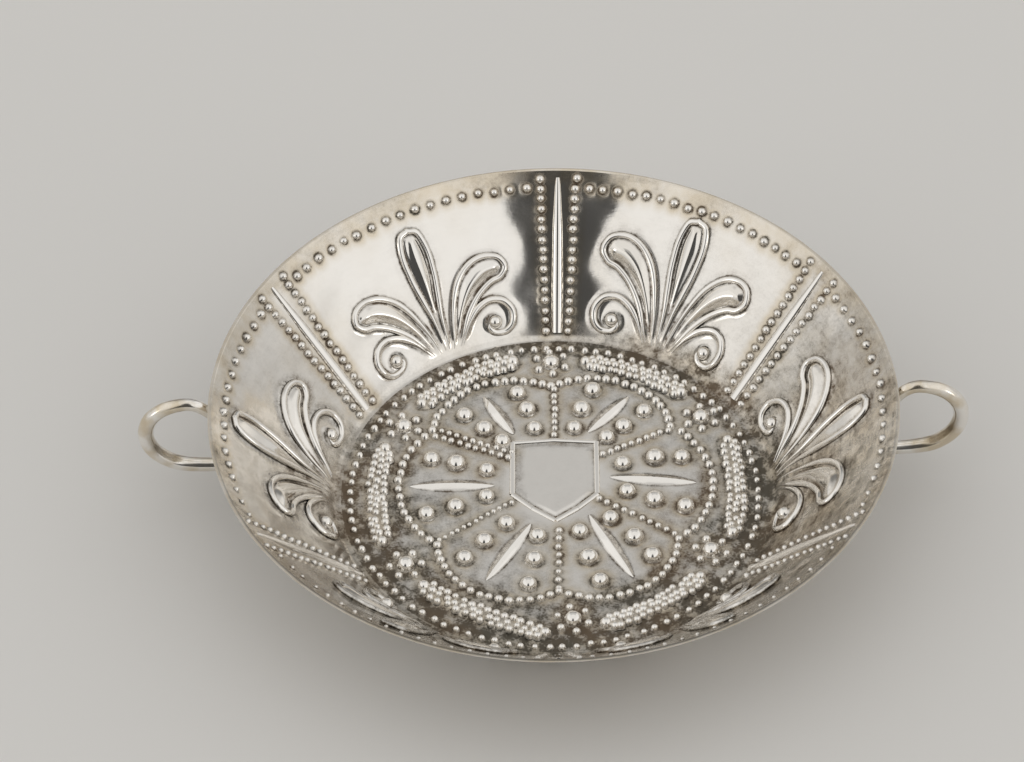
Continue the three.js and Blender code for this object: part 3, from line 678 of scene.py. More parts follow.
def chased_metal(name, smudge, grain_depth):
    """Chased silver: clean on the crests, tarnished and painted with shade where its own value says, with fine
    scratches.
    """
    look = bpy.context.scene.silver_look
    material, wiring, shader, place = metal(name)
    maths, remap, noise = wiring.maths, wiring.remap, wiring.noise

    def value_of(attribute):
        return wiring.add("ShaderNodeAttribute", attribute_name=attribute).outputs["Fac"]

    def streaks_round():
        """Fine streaks that run round the dish's axis on its wall, about 0.5 on the floor."""
        x, y, z = wiring.axes(place)
        reach = maths("SQRT", maths("ADD", maths("MULTIPLY", x, x), maths("MULTIPLY", y, y)))
        turn = maths("MULTIPLY", maths("ARCTAN2", y, x), 9.0)
        rolled = wiring.add("ShaderNodeCombineXYZ", {"X": turn, "Y": maths("MULTIPLY", reach, 1500.0)})
        streak = maths("SUBTRACT", noise(rolled.outputs["Vector"], 1.0, 3), 0.5)
        return maths("MULTIPLY_ADD", streak, remap(z, 0.003, 0.008, 0.0, 1.0), 0.5)

    patches = remap(noise(place, 90, 4, 0.6), 0.35, 0.7, 0.0, 1.0)
    specks = remap(noise(place, 1700, 4, 0.7), 0.42, 0.68, 0.0, 1.0)
    mottle = remap(noise(place, 330, 3, 0.6), 0.36, 0.66, 0.0, 1.0)
    dark = value_of("tarnish")
    for pattern, reach, least in ((patches, 0.45, 0.7), (specks, 0.6, 0.7), (streaks_round(), 1.4, 0.3),
                                  (mottle, 1.1, 0.45)):
        dark = maths("MULTIPLY", dark, maths("MULTIPLY_ADD", pattern, reach, least))
    dark = maths("MINIMUM", dark, 0.96)
    haze = maths("MULTIPLY", value_of("haze"), maths("MULTIPLY_ADD", patches, 0.7, 0.35))
    haze = maths("MINIMUM", haze, 0.85)
    film = wiring.mix(haze, opaque(look.silver), opaque(look.haze))
    browner = remap(noise(place, 45, 3), 0.42, 0.62, 0.0, 1.0)
    tint = wiring.mix(browner, opaque(look.tarnish), opaque(look.brown))
    wiring.fill(shader["Base Color"], wiring.mix(dark, film, tint))

    smudges = remap(noise(place, 60, 5, 0.6), 0.35, 0.75, 0.0, smudge)
    rough = maths("ADD", maths("MULTIPLY_ADD", dark, look.dullness - look.polish, look.polish), smudges)
    wiring.fill(shader["Roughness"], maths("ADD", rough, maths("MULTIPLY", haze, 0.06)))

    stretched = wiring.add("ShaderNodeMapping", {"Vector": place, "Rotation": (0.3, 0.2, 0.7),
                                                 "Scale": (1.0, 22.0, 1.0)}).outputs["Vector"]
    scratches = maths("MULTIPLY", noise(stretched, 220, 2), 0.4)
    grain = maths("ADD", maths("MULTIPLY", noise(place, 420, 3), 0.6), scratches)
    wiring.fill(shader["Normal"], wiring.bump(grain, grain_depth, 0.4 * MM))
    return material


def grained_metal(name, scale, detail, hollow, crest, rough, bump):
    """Metal whose colour and fine bumps follow one grain.

    hollow and crest are (place in the grain, colour), and rough is one roughness, or two that the grain spans.
    """
    material, wiring, shader, place = metal(name)
    grain = wiring.noise(place, scale, detail)
    ramp = wiring.add("ShaderNodeValToRGB", {"Fac": grain})
    for element, (position, shade) in zip(ramp.color_ramp.elements, (hollow, crest)):
        element.position, element.color = position, opaque(shade)
    wiring.fill(shader["Base Color"], ramp.outputs["Color"])
    if isinstance(rough, tuple):
        rough = wiring.remap(grain, 0.3, 0.7, *rough)
    wiring.fill(shader["Roughness"], rough)
    wiring.fill(shader["Normal"], wiring.bump(grain, *bump))
    return material


def sheet_material():
    return once(bpy.data.materials, "chased_silver", chased_metal, 0.07, 0.035)


def crest_material():
    return once(bpy.data.materials, "rubbed_silver", chased_metal, 0.02, 0.02)


def wire_material():
    """Polished wire with drawn marks and a little tarnish in its hollows."""
    look = bpy.context.scene.silver_look
    return once(bpy.data.materials, "polished_wire", grained_metal, 160, 5, (0.38, look.haze),
                (0.62, look.silver), (0.22, 0.10), (0.15, 0.3 * MM))


def solder_material():
    """Dull solder with a fine frosted surface."""
    look = bpy.context.scene.silver_look
    return once(bpy.data.materials, "silver_solder", grained_metal, 900, 4, (0.3, look.tarnish),
                (0.6, look.solder), 0.38, (0.4, 0.2 * MM))


def wall_panel(index, form, sizes, ornament):
    """One sixth of the wall, from a clear line beside one rib to the next, inside, over the rim and outside."""
    palmette = PALMETTES[index]
    start = PANEL_START + PANEL_SPAN * index
    azimuths = np.linspace(start, start + PANEL_SPAN, WALL_COLUMNS)
    cut = form.sheet / math.tan(form.slope)
    edge_step = 0.09 * MM
    inner_along = np.append(np.linspace(0, form.length - edge_step, INNER_ROWS), form.length)
    outer_along = np.append(form.length + cut, np.linspace(form.length + cut - edge_step, 0, OUTER_ROWS))
    rows = [row for group in wall_beads(ornament, form).values() for row in group]
    beads = np.concatenate([form.wall(azimuth, up)[0] for azimuth, up, _ in rows])
    bead_radii = np.concatenate([radii for _, _, radii in rows])

    def face(along, outside):
        radius, z, slant, up = (column[:, None] for column in form.section(along))
        turn = np.radians(azimuths)
        points = polar(radius, turn, z).reshape(-1, 3)
        normals = polar(-np.sin(slant), turn, np.cos(slant)).reshape(-1, 3)
        azimuth, up = (grid.ravel() for grid in np.broadcast_arrays(azimuths, up))
        below_rim = form.wall_length - up
        height, tarnish, rubbed = wall_relief(azimuth, up, form, sizes, palmette)
        edge = ease(up / (4 * MM)) * ease(below_rim / (4 * MM))
        height = softened(height, len(along), 4) + edge * hammered(points, sizes)
        halo, haze, dent = bead_halo(points, beads, bead_radii)
        around = azimuth % 360
        # The corner at the foot: brown tarnish and painted shade over the cove's reflection, as deep as the
        # azimuth table says
        foot_reach = 4.2 * MM + 4.5 * MM * np.maximum(np.cos(np.radians(around)), 0) ** 2
        foot = np.interp(around, *zip(*FOOT_TARNISH_AND_SHADE)) * bell(up, 0, foot_reach)
        worn = np.interp(around, *zip(*WALL_TARNISH)) * (1.25 - up / (80 * MM))
        rim_wear = 1 + waves(points, 8 * MM, 25 * MM, 14, RIM_WEAR_SEED)
        worn += 0.09 * ease((up - 38 * MM) / (4 * MM)) * rim_wear
        worn *= 1 - 0.75 * rubbed
        tarnish = np.maximum.reduce([tarnish, halo, foot, worn])
        film = 0.16 + 0.12 * waves(points, 12 * MM, 40 * MM, 14, FILM_SEED)
        rim_film = 0.95 * ease((up - 39 * MM) / (4 * MM))
        haze = np.maximum.reduce([haze, film, rim_film, 1.6 * worn, 1.2 * foot])
        if outside:
            height = (height + dimples(points, beads, bead_radii)) * edge - form.sheet
            tarnish = (0.25 + 0.4 * tarnish) * ease(below_rim / (1 * MM))
        else:
            height -= 0.022 * MM * dent * edge
        return points + height[:, None] * normals, tarnish, haze

    faces = face(inner_along, False), face(outer_along, True)
    points, tarnish, haze = (np.concatenate(parts) for parts in zip(*faces))
    quads = grid_faces(len(inner_along) + len(outer_along), len(azimuths), flip=True)
    return new_mesh(f"dish_wall_{index + 1}", points, quads, sharp_from=50, tarnish=tarnish, haze=haze)


def spindle_share(along):
    """Width of a spindle at shares along its length, as a share of its widest."""
    return np.sin(math.pi * np.clip(along, 0, 1)) ** 0.65


def disc(radius, cells):
    """A round grid without a pole: x and y of its points."""
    line = np.linspace(-1, 1, cells + 1)
    a, b = np.meshgrid(line, line, indexing="ij")
    wide = np.abs(a) > np.abs(b)
    with np.errstate(divide="ignore", invalid="ignore"):
        turn = np.where(wide, math.pi / 4 * b / a, math.pi / 2 - math.pi / 4 * a / b)
    return radius * polar(np.where(wide, a, b), np.nan_to_num(turn), 0)[..., :2].reshape(-1, 2)


def floor_relief(places, sizes):
    """Height of the floor at x, y places in metres, and how dark it is: tarnish, with painted shade on the
    shield's bevel.
    """
    height = np.zeros(len(places))
    right, back = places.T / (50 * MM)
    uneven = waves(np.insert(places, 2, 0, axis=1), 9 * MM, 30 * MM, 16, FLOOR_WEAR_SEED)
    reach = np.linalg.norm(places, axis=1)
    tarnish = 0.30 + 0.15 * uneven - 0.03 * right - 0.06 * back
    tarnish += 0.42 * ease((reach - 34 * MM) / (6 * MM)) * (1 - 0.8 * back)
    tarnish = np.maximum(tarnish, (1.2 + 0.2 * uneven) * ease((reach - 48.7 * MM) / (1.5 * MM)))
    for outer, inner in np.array(SPINDLES) * MM:
        span = inner - outer
        long = np.linalg.norm(span)
        along = (places - outer) @ span / long ** 2
        share = spindle_share(along)
        gap = np.abs((places - outer) @ (-span[1], span[0]) / long) - sizes.spindle_width * share
        tarnish *= 1 - 0.35 * bell(np.maximum(gap - 1.2 * MM, 0), 0, 1.5 * MM) * (np.abs(along - 0.5) < 0.55)
        tarnish = np.maximum(tarnish, 0.85 * bell(gap, 0, 0.5 * MM) * (share > 0.05))
    for ends in BARS:
        line = bar_line(ends, 16) * MM
        gap = to_segments(places, line[:-1], line[1:])
        mound = np.clip(1 - gap / sizes.bar_width, 0, 1)
        height = np.maximum(height, sizes.bar_height * np.sin(mound * math.pi / 2))
        tarnish *= 1 - 0.6 * ease(2.5 * mound)
        tarnish = np.maximum(tarnish, 0.85 * bell(gap, sizes.bar_width + 0.3 * MM, 0.7 * MM))
    depth = inside_depth(places, np.array(SHIELD) * MM)
    height = np.where(depth > -4 * MM, height + 0.22 * MM * ease((depth - 0.8 * MM) / (1.8 * MM)), height)
    rubbed = 1 - 0.85 * bell(np.maximum(-depth - 1.2 * MM, 0), 0, 1.6 * MM)
    # Inside the shield's border: a dark groove, darker towards its lower point, and painted shade on the bevel
    # along the top and left sides only
    groove = bell(depth, 0.85 * MM, 0.33 * MM) * np.interp(places[:, 1], (-3 * MM, 0), (0.95, 0.4))
    shaded = (places[:, 1] > 14 * MM) | (places[:, 0] < -7 * MM)
    bevel = 0.3 * bell(depth, 1.7 * MM, 1.0 * MM) * shaded
    tarnish = np.where(depth > 0, 0.03 + groove + bevel, np.where(depth < 0, tarnish * rubbed, tarnish))
    return height, np.clip(tarnish, 0, 1.5)


def floor_face(form, sizes, ornament, cells, outside):
    """The floor's face to the bowl, or its reverse to the table."""
    rows = [(places * MM, radii, np.full(len(radii), 0.5 if name == "bar_beads" else 1.0))
            for name, groups in floor_beads(ornament).items() for places, radii, _ in groups]
    beads, radii, strength = (np.concatenate(parts) for parts in zip(*rows))
    places = disc(form.flat_radius, cells)
    height, tarnish = floor_relief(places, sizes)
    halo, haze, dent = bead_halo(places, beads, radii, 0.4 * MM, strength)
    from_corner = form.flat_radius - np.linalg.norm(places, axis=1)
    tarnish = np.maximum.reduce([tarnish, halo, 0.65 * bell(from_corner, 0, 2 * MM)])
    points, _ = form.floor(places)
    height += 0.8 * ease(from_corner / (5 * MM)) * hammered(points, sizes)
    if outside:
        height = np.maximum(0.9 * height + dimples(places, beads, radii), 0) - form.sheet
        tarnish = 0.3 + 0.4 * tarnish
    else:
        height -= 0.09 * MM * dent
    points[:, 2] += height
    name = "dish_floor_reverse" if outside else "dish_floor"
    return new_mesh(name, points, grid_faces(cells + 1, cells + 1, outside), tarnish=tarnish, haze=haze)


def keel_section(rise):
    """The section of a spindle: two nearly flat sides that meet in a sharp crest."""
    side = ((-0.12, 1.12), (0.0, 1.0), (0.30, 0.74), (0.62, 0.43), (0.90, 0.12), (0.975, 0.04))
    return [(x * rise, -y) for x, y in side] + [(rise, 0.0)] + [(x * rise, y) for x, y in side[::-1]]


def round_section(rise):
    """The section of a ridge: a rounded crown on two short skirts."""
    lean = np.radians(np.linspace(-80, 80, 11))
    return [(-0.25, -1.25), *((rise * math.cos(a), math.sin(a)) for a in lean), (-0.25, 1.25)]


def growing_tree(name, grow):
    """A geometry tree that grow turns the seeds into, with the inputs Shape, Size and Material."""
    tree = bpy.data.node_groups.new(name, "GeometryNodeTree")
    inputs = {"Geometry": "NodeSocketGeometry", "Shape": "NodeSocketObject", "Size": "NodeSocketFloat",
              "Material": "NodeSocketMaterial"}
    made = {socket: tree.interface.new_socket(name=socket, in_out="INPUT", socket_type=kind)
            for socket, kind in inputs.items()}
    made["Size"].default_value = 1.0
    tree.interface.new_socket(name="Geometry", in_out="OUTPUT", socket_type="NodeSocketGeometry")
    wiring = Wiring(tree)
    start = wiring.add("NodeGroupInput").outputs

    def value_of(attribute, kind):
        node = wiring.add("GeometryNodeInputNamedAttribute", {"Name": attribute}, data_type=kind)
        return node.outputs["Attribute"]

    shape = wiring.add("GeometryNodeObjectInfo", {"Object": start["Shape"]}).outputs["Geometry"]
    size = wiring.maths("MULTIPLY", value_of("radius_here", "FLOAT"), start["Size"])
    grown_ones = grow(wiring, start["Geometry"], shape, size, value_of("facing", "FLOAT_VECTOR"))
    real = wiring.add("GeometryNodeRealizeInstances", {"Geometry": grown_ones}).outputs["Geometry"]
    painted = wiring.add("GeometryNodeSetMaterial", {"Geometry": real, "Material": start["Material"]})
    wiring.add("NodeGroupOutput", {"Geometry": painted.outputs["Geometry"]})
    return tree


def set_beads(wiring, seeds, shape, size, facing):
    """A bead on each point, turned to the point's normal and scaled to its radius."""
    turn = wiring.add("FunctionNodeAlignRotationToVector", {"Vector": facing}, axis="Z").outputs["Rotation"]
    points = wiring.add("GeometryNodeMeshToPoints", {"Mesh": seeds}).outputs["Points"]
    inputs = {"Points": points, "Instance": shape, "Rotation": turn, "Scale": size}
    return wiring.add("GeometryNodeInstanceOnPoints", inputs).outputs["Instances"]


def sweep_ridges(wiring, seeds, shape, size, facing):
    """A ridge swept along each line of edges, facing the line's normals."""
    path = wiring.add("GeometryNodeMeshToCurve", {"Mesh": seeds}).outputs["Curve"]
    turned = wiring.add("GeometryNodeSetCurveNormal", {"Curve": path, "Normal": facing}, mode="FREE")
    section = wiring.add("GeometryNodeMeshToCurve", {"Mesh": shape}).outputs["Curve"]
    inputs = {"Curve": turned.outputs["Curve"], "Profile Curve": section, "Scale": size, "Fill Caps": True}
    ridge = wiring.add("GeometryNodeCurveToMesh", inputs).outputs["Mesh"]
    return wiring.add("GeometryNodeSetShadeSmooth", {"Geometry": ridge}).outputs["Geometry"]


def grown(name, seeds, tree, shape):
    """The seed mesh put through a geometry tree, as a plain mesh object at the origin."""
    modifier = seeds.modifiers.new(name, "NODES")
    modifier.node_group = tree
    named = {item.name: item.identifier for item in tree.interface.items_tree if item.in_out == "INPUT"}
    for socket, value in (("Shape", shape), ("Size", 1.0), ("Material", crest_material())):
        modifier[named[socket]] = value
    bpy.context.view_layer.update()
    graph = bpy.context.evaluated_depsgraph_get()
    mesh = bpy.data.meshes.new_from_object(seeds.evaluated_get(graph))
    mesh.name = name
    seeds.modifiers.remove(modifier)
    bpy.data.objects.remove(seeds)
    bpy.data.objects.remove(shape)
    for spare in ("facing", "radius_here"):
        if spare in mesh.attributes:
            mesh.attributes.remove(mesh.attributes[spare])
    return linked(name, mesh)


def bead_shape(sides, rings):
    """One bead of radius 1: a domed cap on a skirt that runs into the sheet, dark at its foot with tarnish and
    painted shade.
    """
    top = 0.94
    lean = np.radians(np.linspace(84, 90 / (rings + 1), rings))
    profile = np.array([(1.18, -0.14), (1.04, 0.04), *zip(np.sin(lean), top * np.cos(lean))])
    turn = np.linspace(0, math.tau, sides, endpoint=False)
    rows = polar(profile[:, :1], turn, profile[:, 1:]).reshape(-1, 3)
    points = np.concatenate([rows, [[0, 0, top]]])
    # Tarnish in the hollow at the bead's foot, and painted shade up its lower flank, so that only the top stays
    # bright
    tarnish = np.interp(points[:, 2], (-0.1, 0.1, 0.4), (1.0, 0.7, 0.0))
    faces = tube_faces(len(profile), sides)
    return new_mesh("bead_shape", points, faces, tarnish=tarnish, haze=0.2 * (points[:, 2] < 0.6))


def beads_piece(name, rows, sides, rings):
    """Rows of beads as one piece. Each row is (points, normals, radii)."""
    points, normals, radii = (np.concatenate(parts) for parts in zip(*rows))
    seeds = new_mesh(f"{name}_seeds", points, facing=normals, radius_here=radii)
    tree = once(bpy.data.node_groups, "bead rows", growing_tree, set_beads)
    return grown(name, seeds, tree, bead_shape(sides, rings))


def section_shape(section, rise, film):
    """A ridge's section as a closed line, one unit wide to each side: x is up from the sheet, y is across.

    film is how dark its two sides are: tarnish on a palmette's ridges, and painted shade on one side of a
    spindle.
    """
    points = np.array([(x, y, 0) for x, y in section(rise)])
    up, across, _ = points.T
    edges = [(i, (i + 1) % len(points)) for i in range(len(points))]
    foot = np.interp(up / rise, (-0.1, 0.05, 0.25), (0.95, 0.6, 0.0))
    tarnish = np.maximum(foot, np.where(across > 0.02, *film) * (up < 0.97 * rise))
    return new_mesh("ridge_section", points, edges=edges, tarnish=tarnish, haze=0.15 * (up < 0.3 * rise))


def ridges_piece(name, lines, rise, section=round_section, film=(0, 0)):
    """Ridges as one piece. Each line is (points, normals, half widths), rise the height over half width."""
    lines = list(lines)
    points, normals, widths = (np.concatenate(parts) for parts in zip(*lines))
    starts = set(np.cumsum([len(width) for _, _, width in lines]))
    edges = [(i - 1, i) for i in range(1, len(points)) if i not in starts]
    seeds = new_mesh(f"{name}_seeds", points, edges=edges, facing=normals, radius_here=widths)
    tree = once(bpy.data.node_groups, "raised ridges", growing_tree, sweep_ridges)
    return grown(name, seeds, tree, section_shape(section, rise, film))


def handle_path(sizes, form, lift):
    """The wire's middle line in its own plane, as (distance from the axis, height) in metres."""
    shoulder_out, shoulder_drop = 1.8 * MM, 1.4 * MM
    seat_drop, seat_gap, tail_in = 4.2 * MM, 1.2 * MM, 1.4 * MM
    arm = sizes.arm_height + lift
    top = form.rim_height - sizes.loop_top_drop + lift
    outward = np.array([math.sin(form.slope), -math.cos(form.slope)])

    def wall_at(z):
        return np.array([form.rim_radius - (form.rim_height - z) / math.tan(form.slope), z])

    centre = np.array([form.rim_radius + sizes.loop_centre, (arm + top) / 2])
    turn = np.radians([-90, -60, -30, 0, 30, 60, 90])
    half_wide, half_high = sizes.loop_reach - sizes.loop_centre, (top - arm) / 2
    loop = centre + np.stack([half_wide * np.cos(turn), half_high * np.sin(turn)], -1)
    foot = wall_at(arm) - (form.sheet / 2 / math.sin(form.slope), 0)
    shoulder = np.array([form.rim_radius + shoulder_out, top - shoulder_drop])
    seat = wall_at(form.rim_height - seat_drop) + outward * (sizes.seat_radius + seat_gap)
    tail = [seat - (tail_in, share * (top - arm)) for share in (0.15, 0.3)]
    return smooth_line([foot, (foot + loop[0]) / 2, *loop, shoulder, seat, *tail], 14)


def handle_piece(name, sizes, form, azimuth, lift):
    """The wire loop as a smooth tube: its foot cut to the wall's slope, its tail rounded, its sides filed."""
    line = handle_path(sizes, form, lift)
    steps = np.linalg.norm(np.diff(line, axis=0), axis=1)
    along = np.concatenate([[0], np.cumsum(steps)]) / steps.sum()
    even = np.linspace(0, 1, 150)
    line = np.stack([np.interp(even, along, line[:, i]) for i in range(2)], -1)
    tangent = np.gradient(line, axis=0)
    tangent /= np.linalg.norm(tangent, axis=1, keepdims=True)
    foot, loop, tail = sizes.foot_radius, sizes.loop_radius, sizes.tail_radius
    keys = (foot, (foot + loop) / 2, loop, loop, sizes.seat_radius, tail)
    radius = 0.95 * np.interp(even, np.linspace(0, 1, len(keys)), keys)
    cap = np.radians(np.arange(10, 90, 10))
    line = np.concatenate([line, line[-1] + tail * np.sin(cap)[:, None] * tangent[-1]])
    radius = np.concatenate([radius, tail * np.cos(cap)])
    tangent = np.concatenate([tangent, np.repeat(tangent[-1:], len(cap), 0)])
    sides = 28
    turn = np.linspace(0, math.tau, sides, endpoint=False)

    def rings(radius):
        """Points round the line at a radius, less the line itself."""
        out = radius * np.sin(turn)
        return np.stack([out * tangent[:, 1:], radius * np.cos(turn), -out * tangent[:, :1]], -1)

    middle = np.insert(line, 1, 0, axis=1)[:, None]
    tube = middle + rings(radius[:, None])
    filed = waves(tube.reshape(-1, 3), 6 * MM, 16 * MM, 12, WIRE_SEED).reshape(tube.shape[:2]) * 0.03 * MM
    tube += rings(filed)
    at_foot = np.clip(1 - np.linalg.norm(line - line[0], axis=1) / (3 * MM), 0, 1)[:, None]
    tube[..., 0] += at_foot * (tube[..., 2] - line[:, 1:]) / math.tan(form.slope)
    end = middle[-1] + np.insert(tangent[-1], 1, 0) * tail * 0.02
    points = np.concatenate([tube.reshape(-1, 3), end])
    turned = points @ np.array(Matrix.Rotation(math.radians(azimuth), 3, "Z")).T
    piece = new_mesh(name, turned, [*tube_faces(len(line), sides), tuple(range(sides))[::-1]])
    piece.data.materials.append(wire_material())
    return piece


class DISH_OT_sheet(bpy.types.Operator):
    """Make the sheet: six stretches of wall, and the floor with its reverse."""

    bl_idname = "dish.sheet"
    bl_label = "Sheet"

    def execute(self, context):
        sizes, ornament = context.scene.dish_sizes, context.scene.ornament_sizes
        form = Form(sizes)
        floor = [floor_face(form, sizes, ornament, cells, outside)
                 for cells, outside in ((FLOOR_CELLS, False), (REVERSE_CELLS, True))]
        walls = [wall_panel(i, form, sizes, ornament) for i in range(len(PALMETTES))]
        for piece in (*floor, *walls):
            piece.data.materials.append(sheet_material())
            finish(piece, "dish_body")
        return {"FINISHED"}


class DISH_OT_ridges(bpy.types.Operator):
    """Raise the ribs, the palmettes' ridges, the spindles and the shield's border."""

    bl_idname = "dish.ridges"
    bl_label = "Ridges"

    def execute(self, context):
        sizes, ornament = context.scene.dish_sizes, context.scene.ornament_sizes
        form = Form(sizes)
        rib_rise, leaf_rise, shield_rise = 0.7, 0.85, 0.5
        keel_rise = sizes.spindle_height / sizes.spindle_width
        pieces = [ridges_piece("ribs", self.ribs(form, ornament), rib_rise)]
        for i, palmette in enumerate(PALMETTES):
            lines = self.palmette(palmette, form, sizes, ornament)
            pieces.append(ridges_piece(f"palmette_{i + 1}", lines, leaf_rise, film=(palmette["film"],) * 2))
        spindles, shield = self.spindles(form, sizes), self.shield(form, ornament)
        pieces.append(ridges_piece("spindles", spindles, keel_rise, keel_section, SPINDLE_SHADE))
        pieces.append(ridges_piece("shield_border", shield, shield_rise))
        for piece in pieces:
            finish(piece, "dish_body")
        return {"FINISHED"}

    def ribs(self, form, ornament):
        """Ribs that taper towards the rim."""
        up = np.linspace(*RIB_ENDS, 40) * MM
        share = np.interp(up / up[-1], *zip(*RIB_TAPER))
        for azimuth in RIBS:
            yield (*form.wall(azimuth + 0 * up, up), ornament.rib * share)

    def palmette(self, palmette, form, sizes, ornament):
        """A palmette's ridges, thin at both ends."""
        for kind, line in palmette_lines(palmette, form):
            width = ornament.leaf_ridge if kind == "leaf" else ornament.scroll_ridge
            up = line[:, 1] * MM
            ends = np.minimum(np.linspace(0, 1, len(line)), np.linspace(1, 0, len(line)))
            points, normals = form.wall(line[:, 0], up, 0.85 * sizes.flank_height * foot_fade(up))
            yield points, normals, width * (0.15 + 0.85 * ease(ends * 6))

    def spindles(self, form, sizes):
        """Spindles from left to right, so that the same side of each carries the painted shade."""
        along = np.linspace(0.003, 0.997, 40)
        for left, right in map(sorted, SPINDLES):
            places = np.array(left) + along[:, None] * np.subtract(right, left)
            yield (*form.floor(places * MM), sizes.spindle_width * spindle_share(along))

    def shield(self, form, ornament):
        """The sides of the shield's border."""
        for corner, following in zip(SHIELD, (*SHIELD[1:], SHIELD[0])):
            yield (*form.floor(np.linspace(corner, following, 8) * MM), np.full(8, ornament.shield_ridge))


class DISH_OT_wall_beads(bpy.types.Operator):
    """Set the beads under the rim, beside the ribs and at the ends of the scrolls."""

    bl_idname = "dish.wall_beads"
    bl_label = "Wall beads"

    def execute(self, context):
        ornament = context.scene.ornament_sizes
        form = Form(context.scene.dish_sizes)
        for name, rows in wall_beads(ornament, form).items():
            made = [(*form.wall(azimuth, up), radius) for azimuth, up, radius in rows]
            finish(beads_piece(name, made, *SMALL_BEAD), "dish_body")
        balls = [(*form.wall(*place, 0.3 * MM), np.array([ornament.ball]))
                 for palmette in PALMETTES for place in scroll_balls(palmette)]
        finish(beads_piece("scroll_balls", balls, *SCROLL_BEAD), "dish_body")
        return {"FINISHED"}


class DISH_OT_floor_beads(bpy.types.Operator):
    """Set the rings, lobes, rosettes and bars of beads on the floor."""

    bl_idname = "dish.floor_beads"
    bl_label = "Floor beads"

    def execute(self, context):
        form = Form(context.scene.dish_sizes)
        for name, groups in floor_beads(context.scene.ornament_sizes).items():
            made = [(*form.floor(places * MM, lift), radii) for places, radii, lift in groups]
            shape = LARGE_BEAD if name in {"large_beads", "rosette_bosses"} else SMALL_BEAD
            finish(beads_piece(name, made, *shape), "dish_body")
        return {"FINISHED"}


class DISH_OT_handles(bpy.types.Operator):
    """Bend the two wire loops and dress their solder."""

    bl_idname = "dish.handles"
    bl_label = "Handles"

    def execute(self, context):
        sizes, form = context.scene.handle_sizes, Form(context.scene.dish_sizes)
        for name, azimuth, lift in HANDLES:
            finish(handle_piece(f"{name}_wire", sizes, form, azimuth, lift), name)
        for name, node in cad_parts.items():
            if name.endswith("_solder"):
                node.data.materials.clear()
                node.data.materials.append(solder_material())
        return {"FINISHED"}


def towards(azimuth, elevation):
    """A direction at an azimuth and an elevation in degrees."""
    turn, lift = math.radians(azimuth), math.radians(elevation)
    return Vector((math.cos(turn) * math.cos(lift), math.sin(turn) * math.cos(lift), math.sin(lift)))


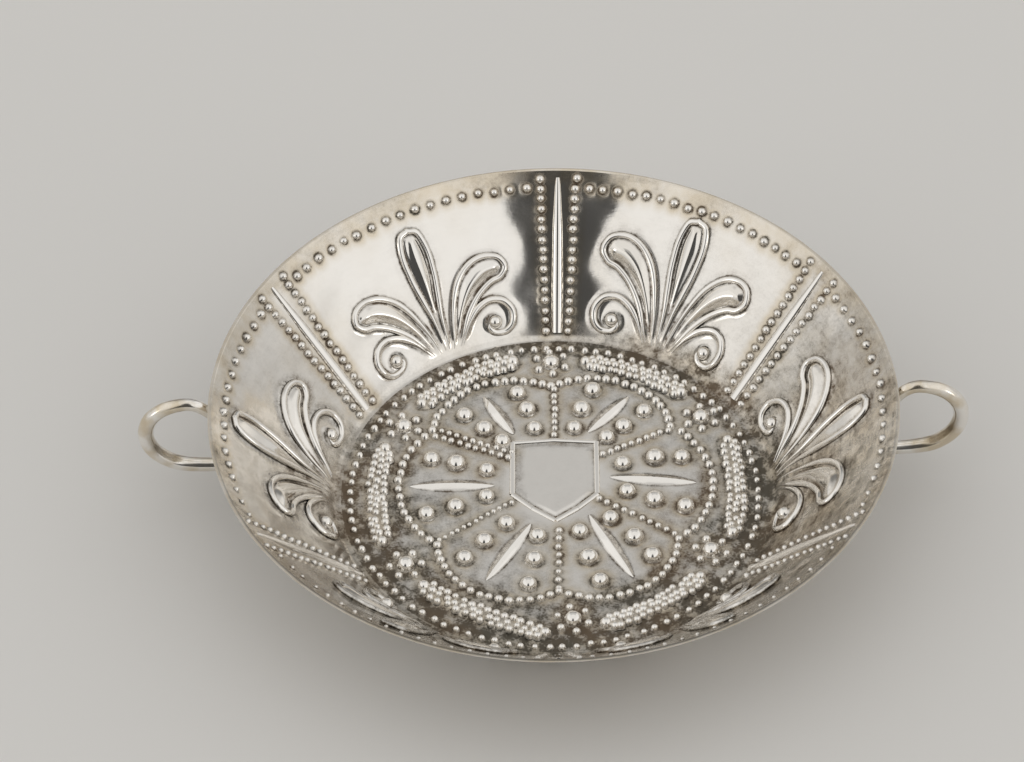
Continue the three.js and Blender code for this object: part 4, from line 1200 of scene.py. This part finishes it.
class DISH_OT_stage(bpy.types.Operator):
    """Lay the pale floor, hang the soft lights and aim the camera."""

    bl_idname = "dish.stage"
    bl_label = "Stage"

    def execute(self, context):
        look = context.scene.stage_look
        self.make_floor(look)
        self.make_surroundings(context, look)
        self.make_lights(look)
        self.make_camera(context, look)
        return {"FINISHED"}

    def make_floor(self, look):
        reach = 3.0
        corners = np.array([(-reach, -reach, 0), (reach, -reach, 0), (reach, reach, 0), (-reach, reach, 0)])
        floor = new_mesh("stage_floor", corners, [(0, 1, 2, 3)])
        material = bpy.data.materials.new("pale_floor")
        material.use_nodes = True
        shader = material.node_tree.nodes["Principled BSDF"].inputs
        shader["Base Color"].default_value = opaque(look.floor)
        shader["Roughness"].default_value = 0.85
        floor.data.materials.append(material)

    def make_surroundings(self, context, look):
        """Pale surroundings, a hot spot low on each side of the camera, and a dark gap between the lights."""
        world = bpy.data.worlds.new("studio")
        world.use_nodes = True
        wiring = Wiring(world.node_tree)
        maths = wiring.maths
        direction = wiring.add("ShaderNodeTexCoord").outputs["Generated"]
        x, y, z = wiring.axes(direction)

        def blend(*values):
            return wiring.remap(*values, kind="SMOOTHSTEP")

        behind = maths("MULTIPLY", blend(y, 0.2, 0.5, 0.0, 1.0), blend(z, 0.80, 0.94, 1.0, 0.0))
        behind = maths("MULTIPLY", behind, blend(maths("ABSOLUTE", x), 0.34, 0.52, 1.0, 0.0))
        level = blend(z, 0.18, 0.50, look.low, look.around)
        back = blend(z, 0.30, 0.62, 0.4 * look.back, look.back)
        level = maths("MULTIPLY_ADD", behind, maths("SUBTRACT", back, level), level)
        for spot in (towards(-30, 16), towards(-152, 16)):
            near = wiring.add("ShaderNodeVectorMath", (direction, spot), operation="DOT_PRODUCT")
            level = maths("ADD", level, blend(near.outputs["Value"], 0.983, 0.996, 0.0, look.hot))
        offset = maths("ABSOLUTE", maths("MULTIPLY_ADD", y, -0.061, x))
        sideways = maths("DIVIDE", offset, maths("MAXIMUM", maths("MULTIPLY", y, -1.0), 0.001))
        in_gap = blend(z, 0.80, 0.88, look.gap, look.front)
        in_gap = maths("MAXIMUM", in_gap, blend(z, 0.89, 0.97, 0.0, look.around))
        lit = blend(sideways, 0.29, 0.33, 0.0, 1.0)
        background = world.node_tree.nodes["Background"].inputs
        background["Color"].default_value = (1.0, 0.985, 0.96, 1)
        strength = maths("MULTIPLY_ADD", maths("SUBTRACT", level, in_gap), lit, in_gap)
        wiring.fill(background["Strength"], strength)
        context.scene.world = world
        context.scene.view_settings.view_transform = "Standard"

    def make_lights(self, look):
        """A broad soft light on each side of the camera, aimed at the dish."""
        distance, elevation, width, height = 1.25, 30, 1.9, 1.25
        for name, azimuth in (("right_light", -27.5), ("left_light", -160)):
            light = bpy.data.lights.new(name, "AREA")
            light.shape = "RECTANGLE"
            light.size, light.size_y = width, height
            light.energy = look.side_light
            away = towards(azimuth, elevation)
            turn = away.to_track_quat("Z", "Y").to_matrix().to_4x4()
            linked(name, light).matrix_world = Matrix.Translation(away * distance) @ turn

    def make_camera(self, context, look):
        """The camera, behind the middle of the base along the view, turned by its yaw, pitch and roll."""
        e = look.camera_elevation
        forward = Vector((0, math.cos(e), -math.sin(e)))
        right = Vector((1, 0, 0))
        up = right.cross(forward)

        def turned(u, v, angle):
            return u * math.cos(angle) - v * math.sin(angle), u * math.sin(angle) + v * math.cos(angle)

        def seen(x, y, z):
            """A direction given in the camera's own axes, turned into the dish's."""
            x, y = turned(x, y, -look.camera_roll)
            y, z = turned(y, z, -look.camera_pitch)
            x, z = turned(x, z, -look.camera_yaw)
            return x * right + y * up + z * forward

        camera = linked("camera", bpy.data.cameras.new("camera"))
        camera.data.lens = look.lens
        camera.data.sensor_width = 36
        camera.data.clip_start = 0.05
        axes = Matrix((seen(1, 0, 0), seen(0, 1, 0), -seen(0, 0, 1))).transposed()
        camera.matrix_world = Matrix.Translation(-forward * look.camera_distance) @ axes.to_4x4()
        context.scene.camera = camera


SETTINGS = {
    "dish_sizes": DishSizes,
    "ornament_sizes": OrnamentSizes,
    "handle_sizes": HandleSizes,
    "silver_look": SilverLook,
    "stage_look": StageLook,
}
STEPS = (DISH_OT_stage, DISH_OT_sheet, DISH_OT_ridges, DISH_OT_wall_beads, DISH_OT_floor_beads, DISH_OT_handles)


class DISH_PT_panel(bpy.types.Panel):
    """The steps in the sidebar, in the order in which they are run, and their settings."""

    bl_idname = "DISH_PT_panel"
    bl_label = "Saucer dish"
    bl_space_type = "VIEW_3D"
    bl_region_type = "UI"
    bl_category = "Saucer dish"

    def draw(self, context):
        for step in STEPS:
            self.layout.operator(step.bl_idname)
        for name in SETTINGS:
            settings = getattr(context.scene, name)
            for prop in settings.bl_rna.properties:
                if prop.identifier not in {"rna_type", "name"}:
                    self.layout.prop(settings, prop.identifier)


def register():
    for cls in (*SETTINGS.values(), *STEPS, DISH_PT_panel):
        bpy.utils.register_class(cls)
    for name, cls in SETTINGS.items():
        setattr(bpy.types.Scene, name, PointerProperty(type=cls))


def unregister():
    for name in SETTINGS:
        delattr(bpy.types.Scene, name)
    for cls in reversed((*SETTINGS.values(), *STEPS, DISH_PT_panel)):
        bpy.utils.unregister_class(cls)


def main():
    register()
    for step in STEPS:
        group, name = step.bl_idname.split(".")
        getattr(getattr(bpy.ops, group), name)()


if __name__ == "__main__":
    main()
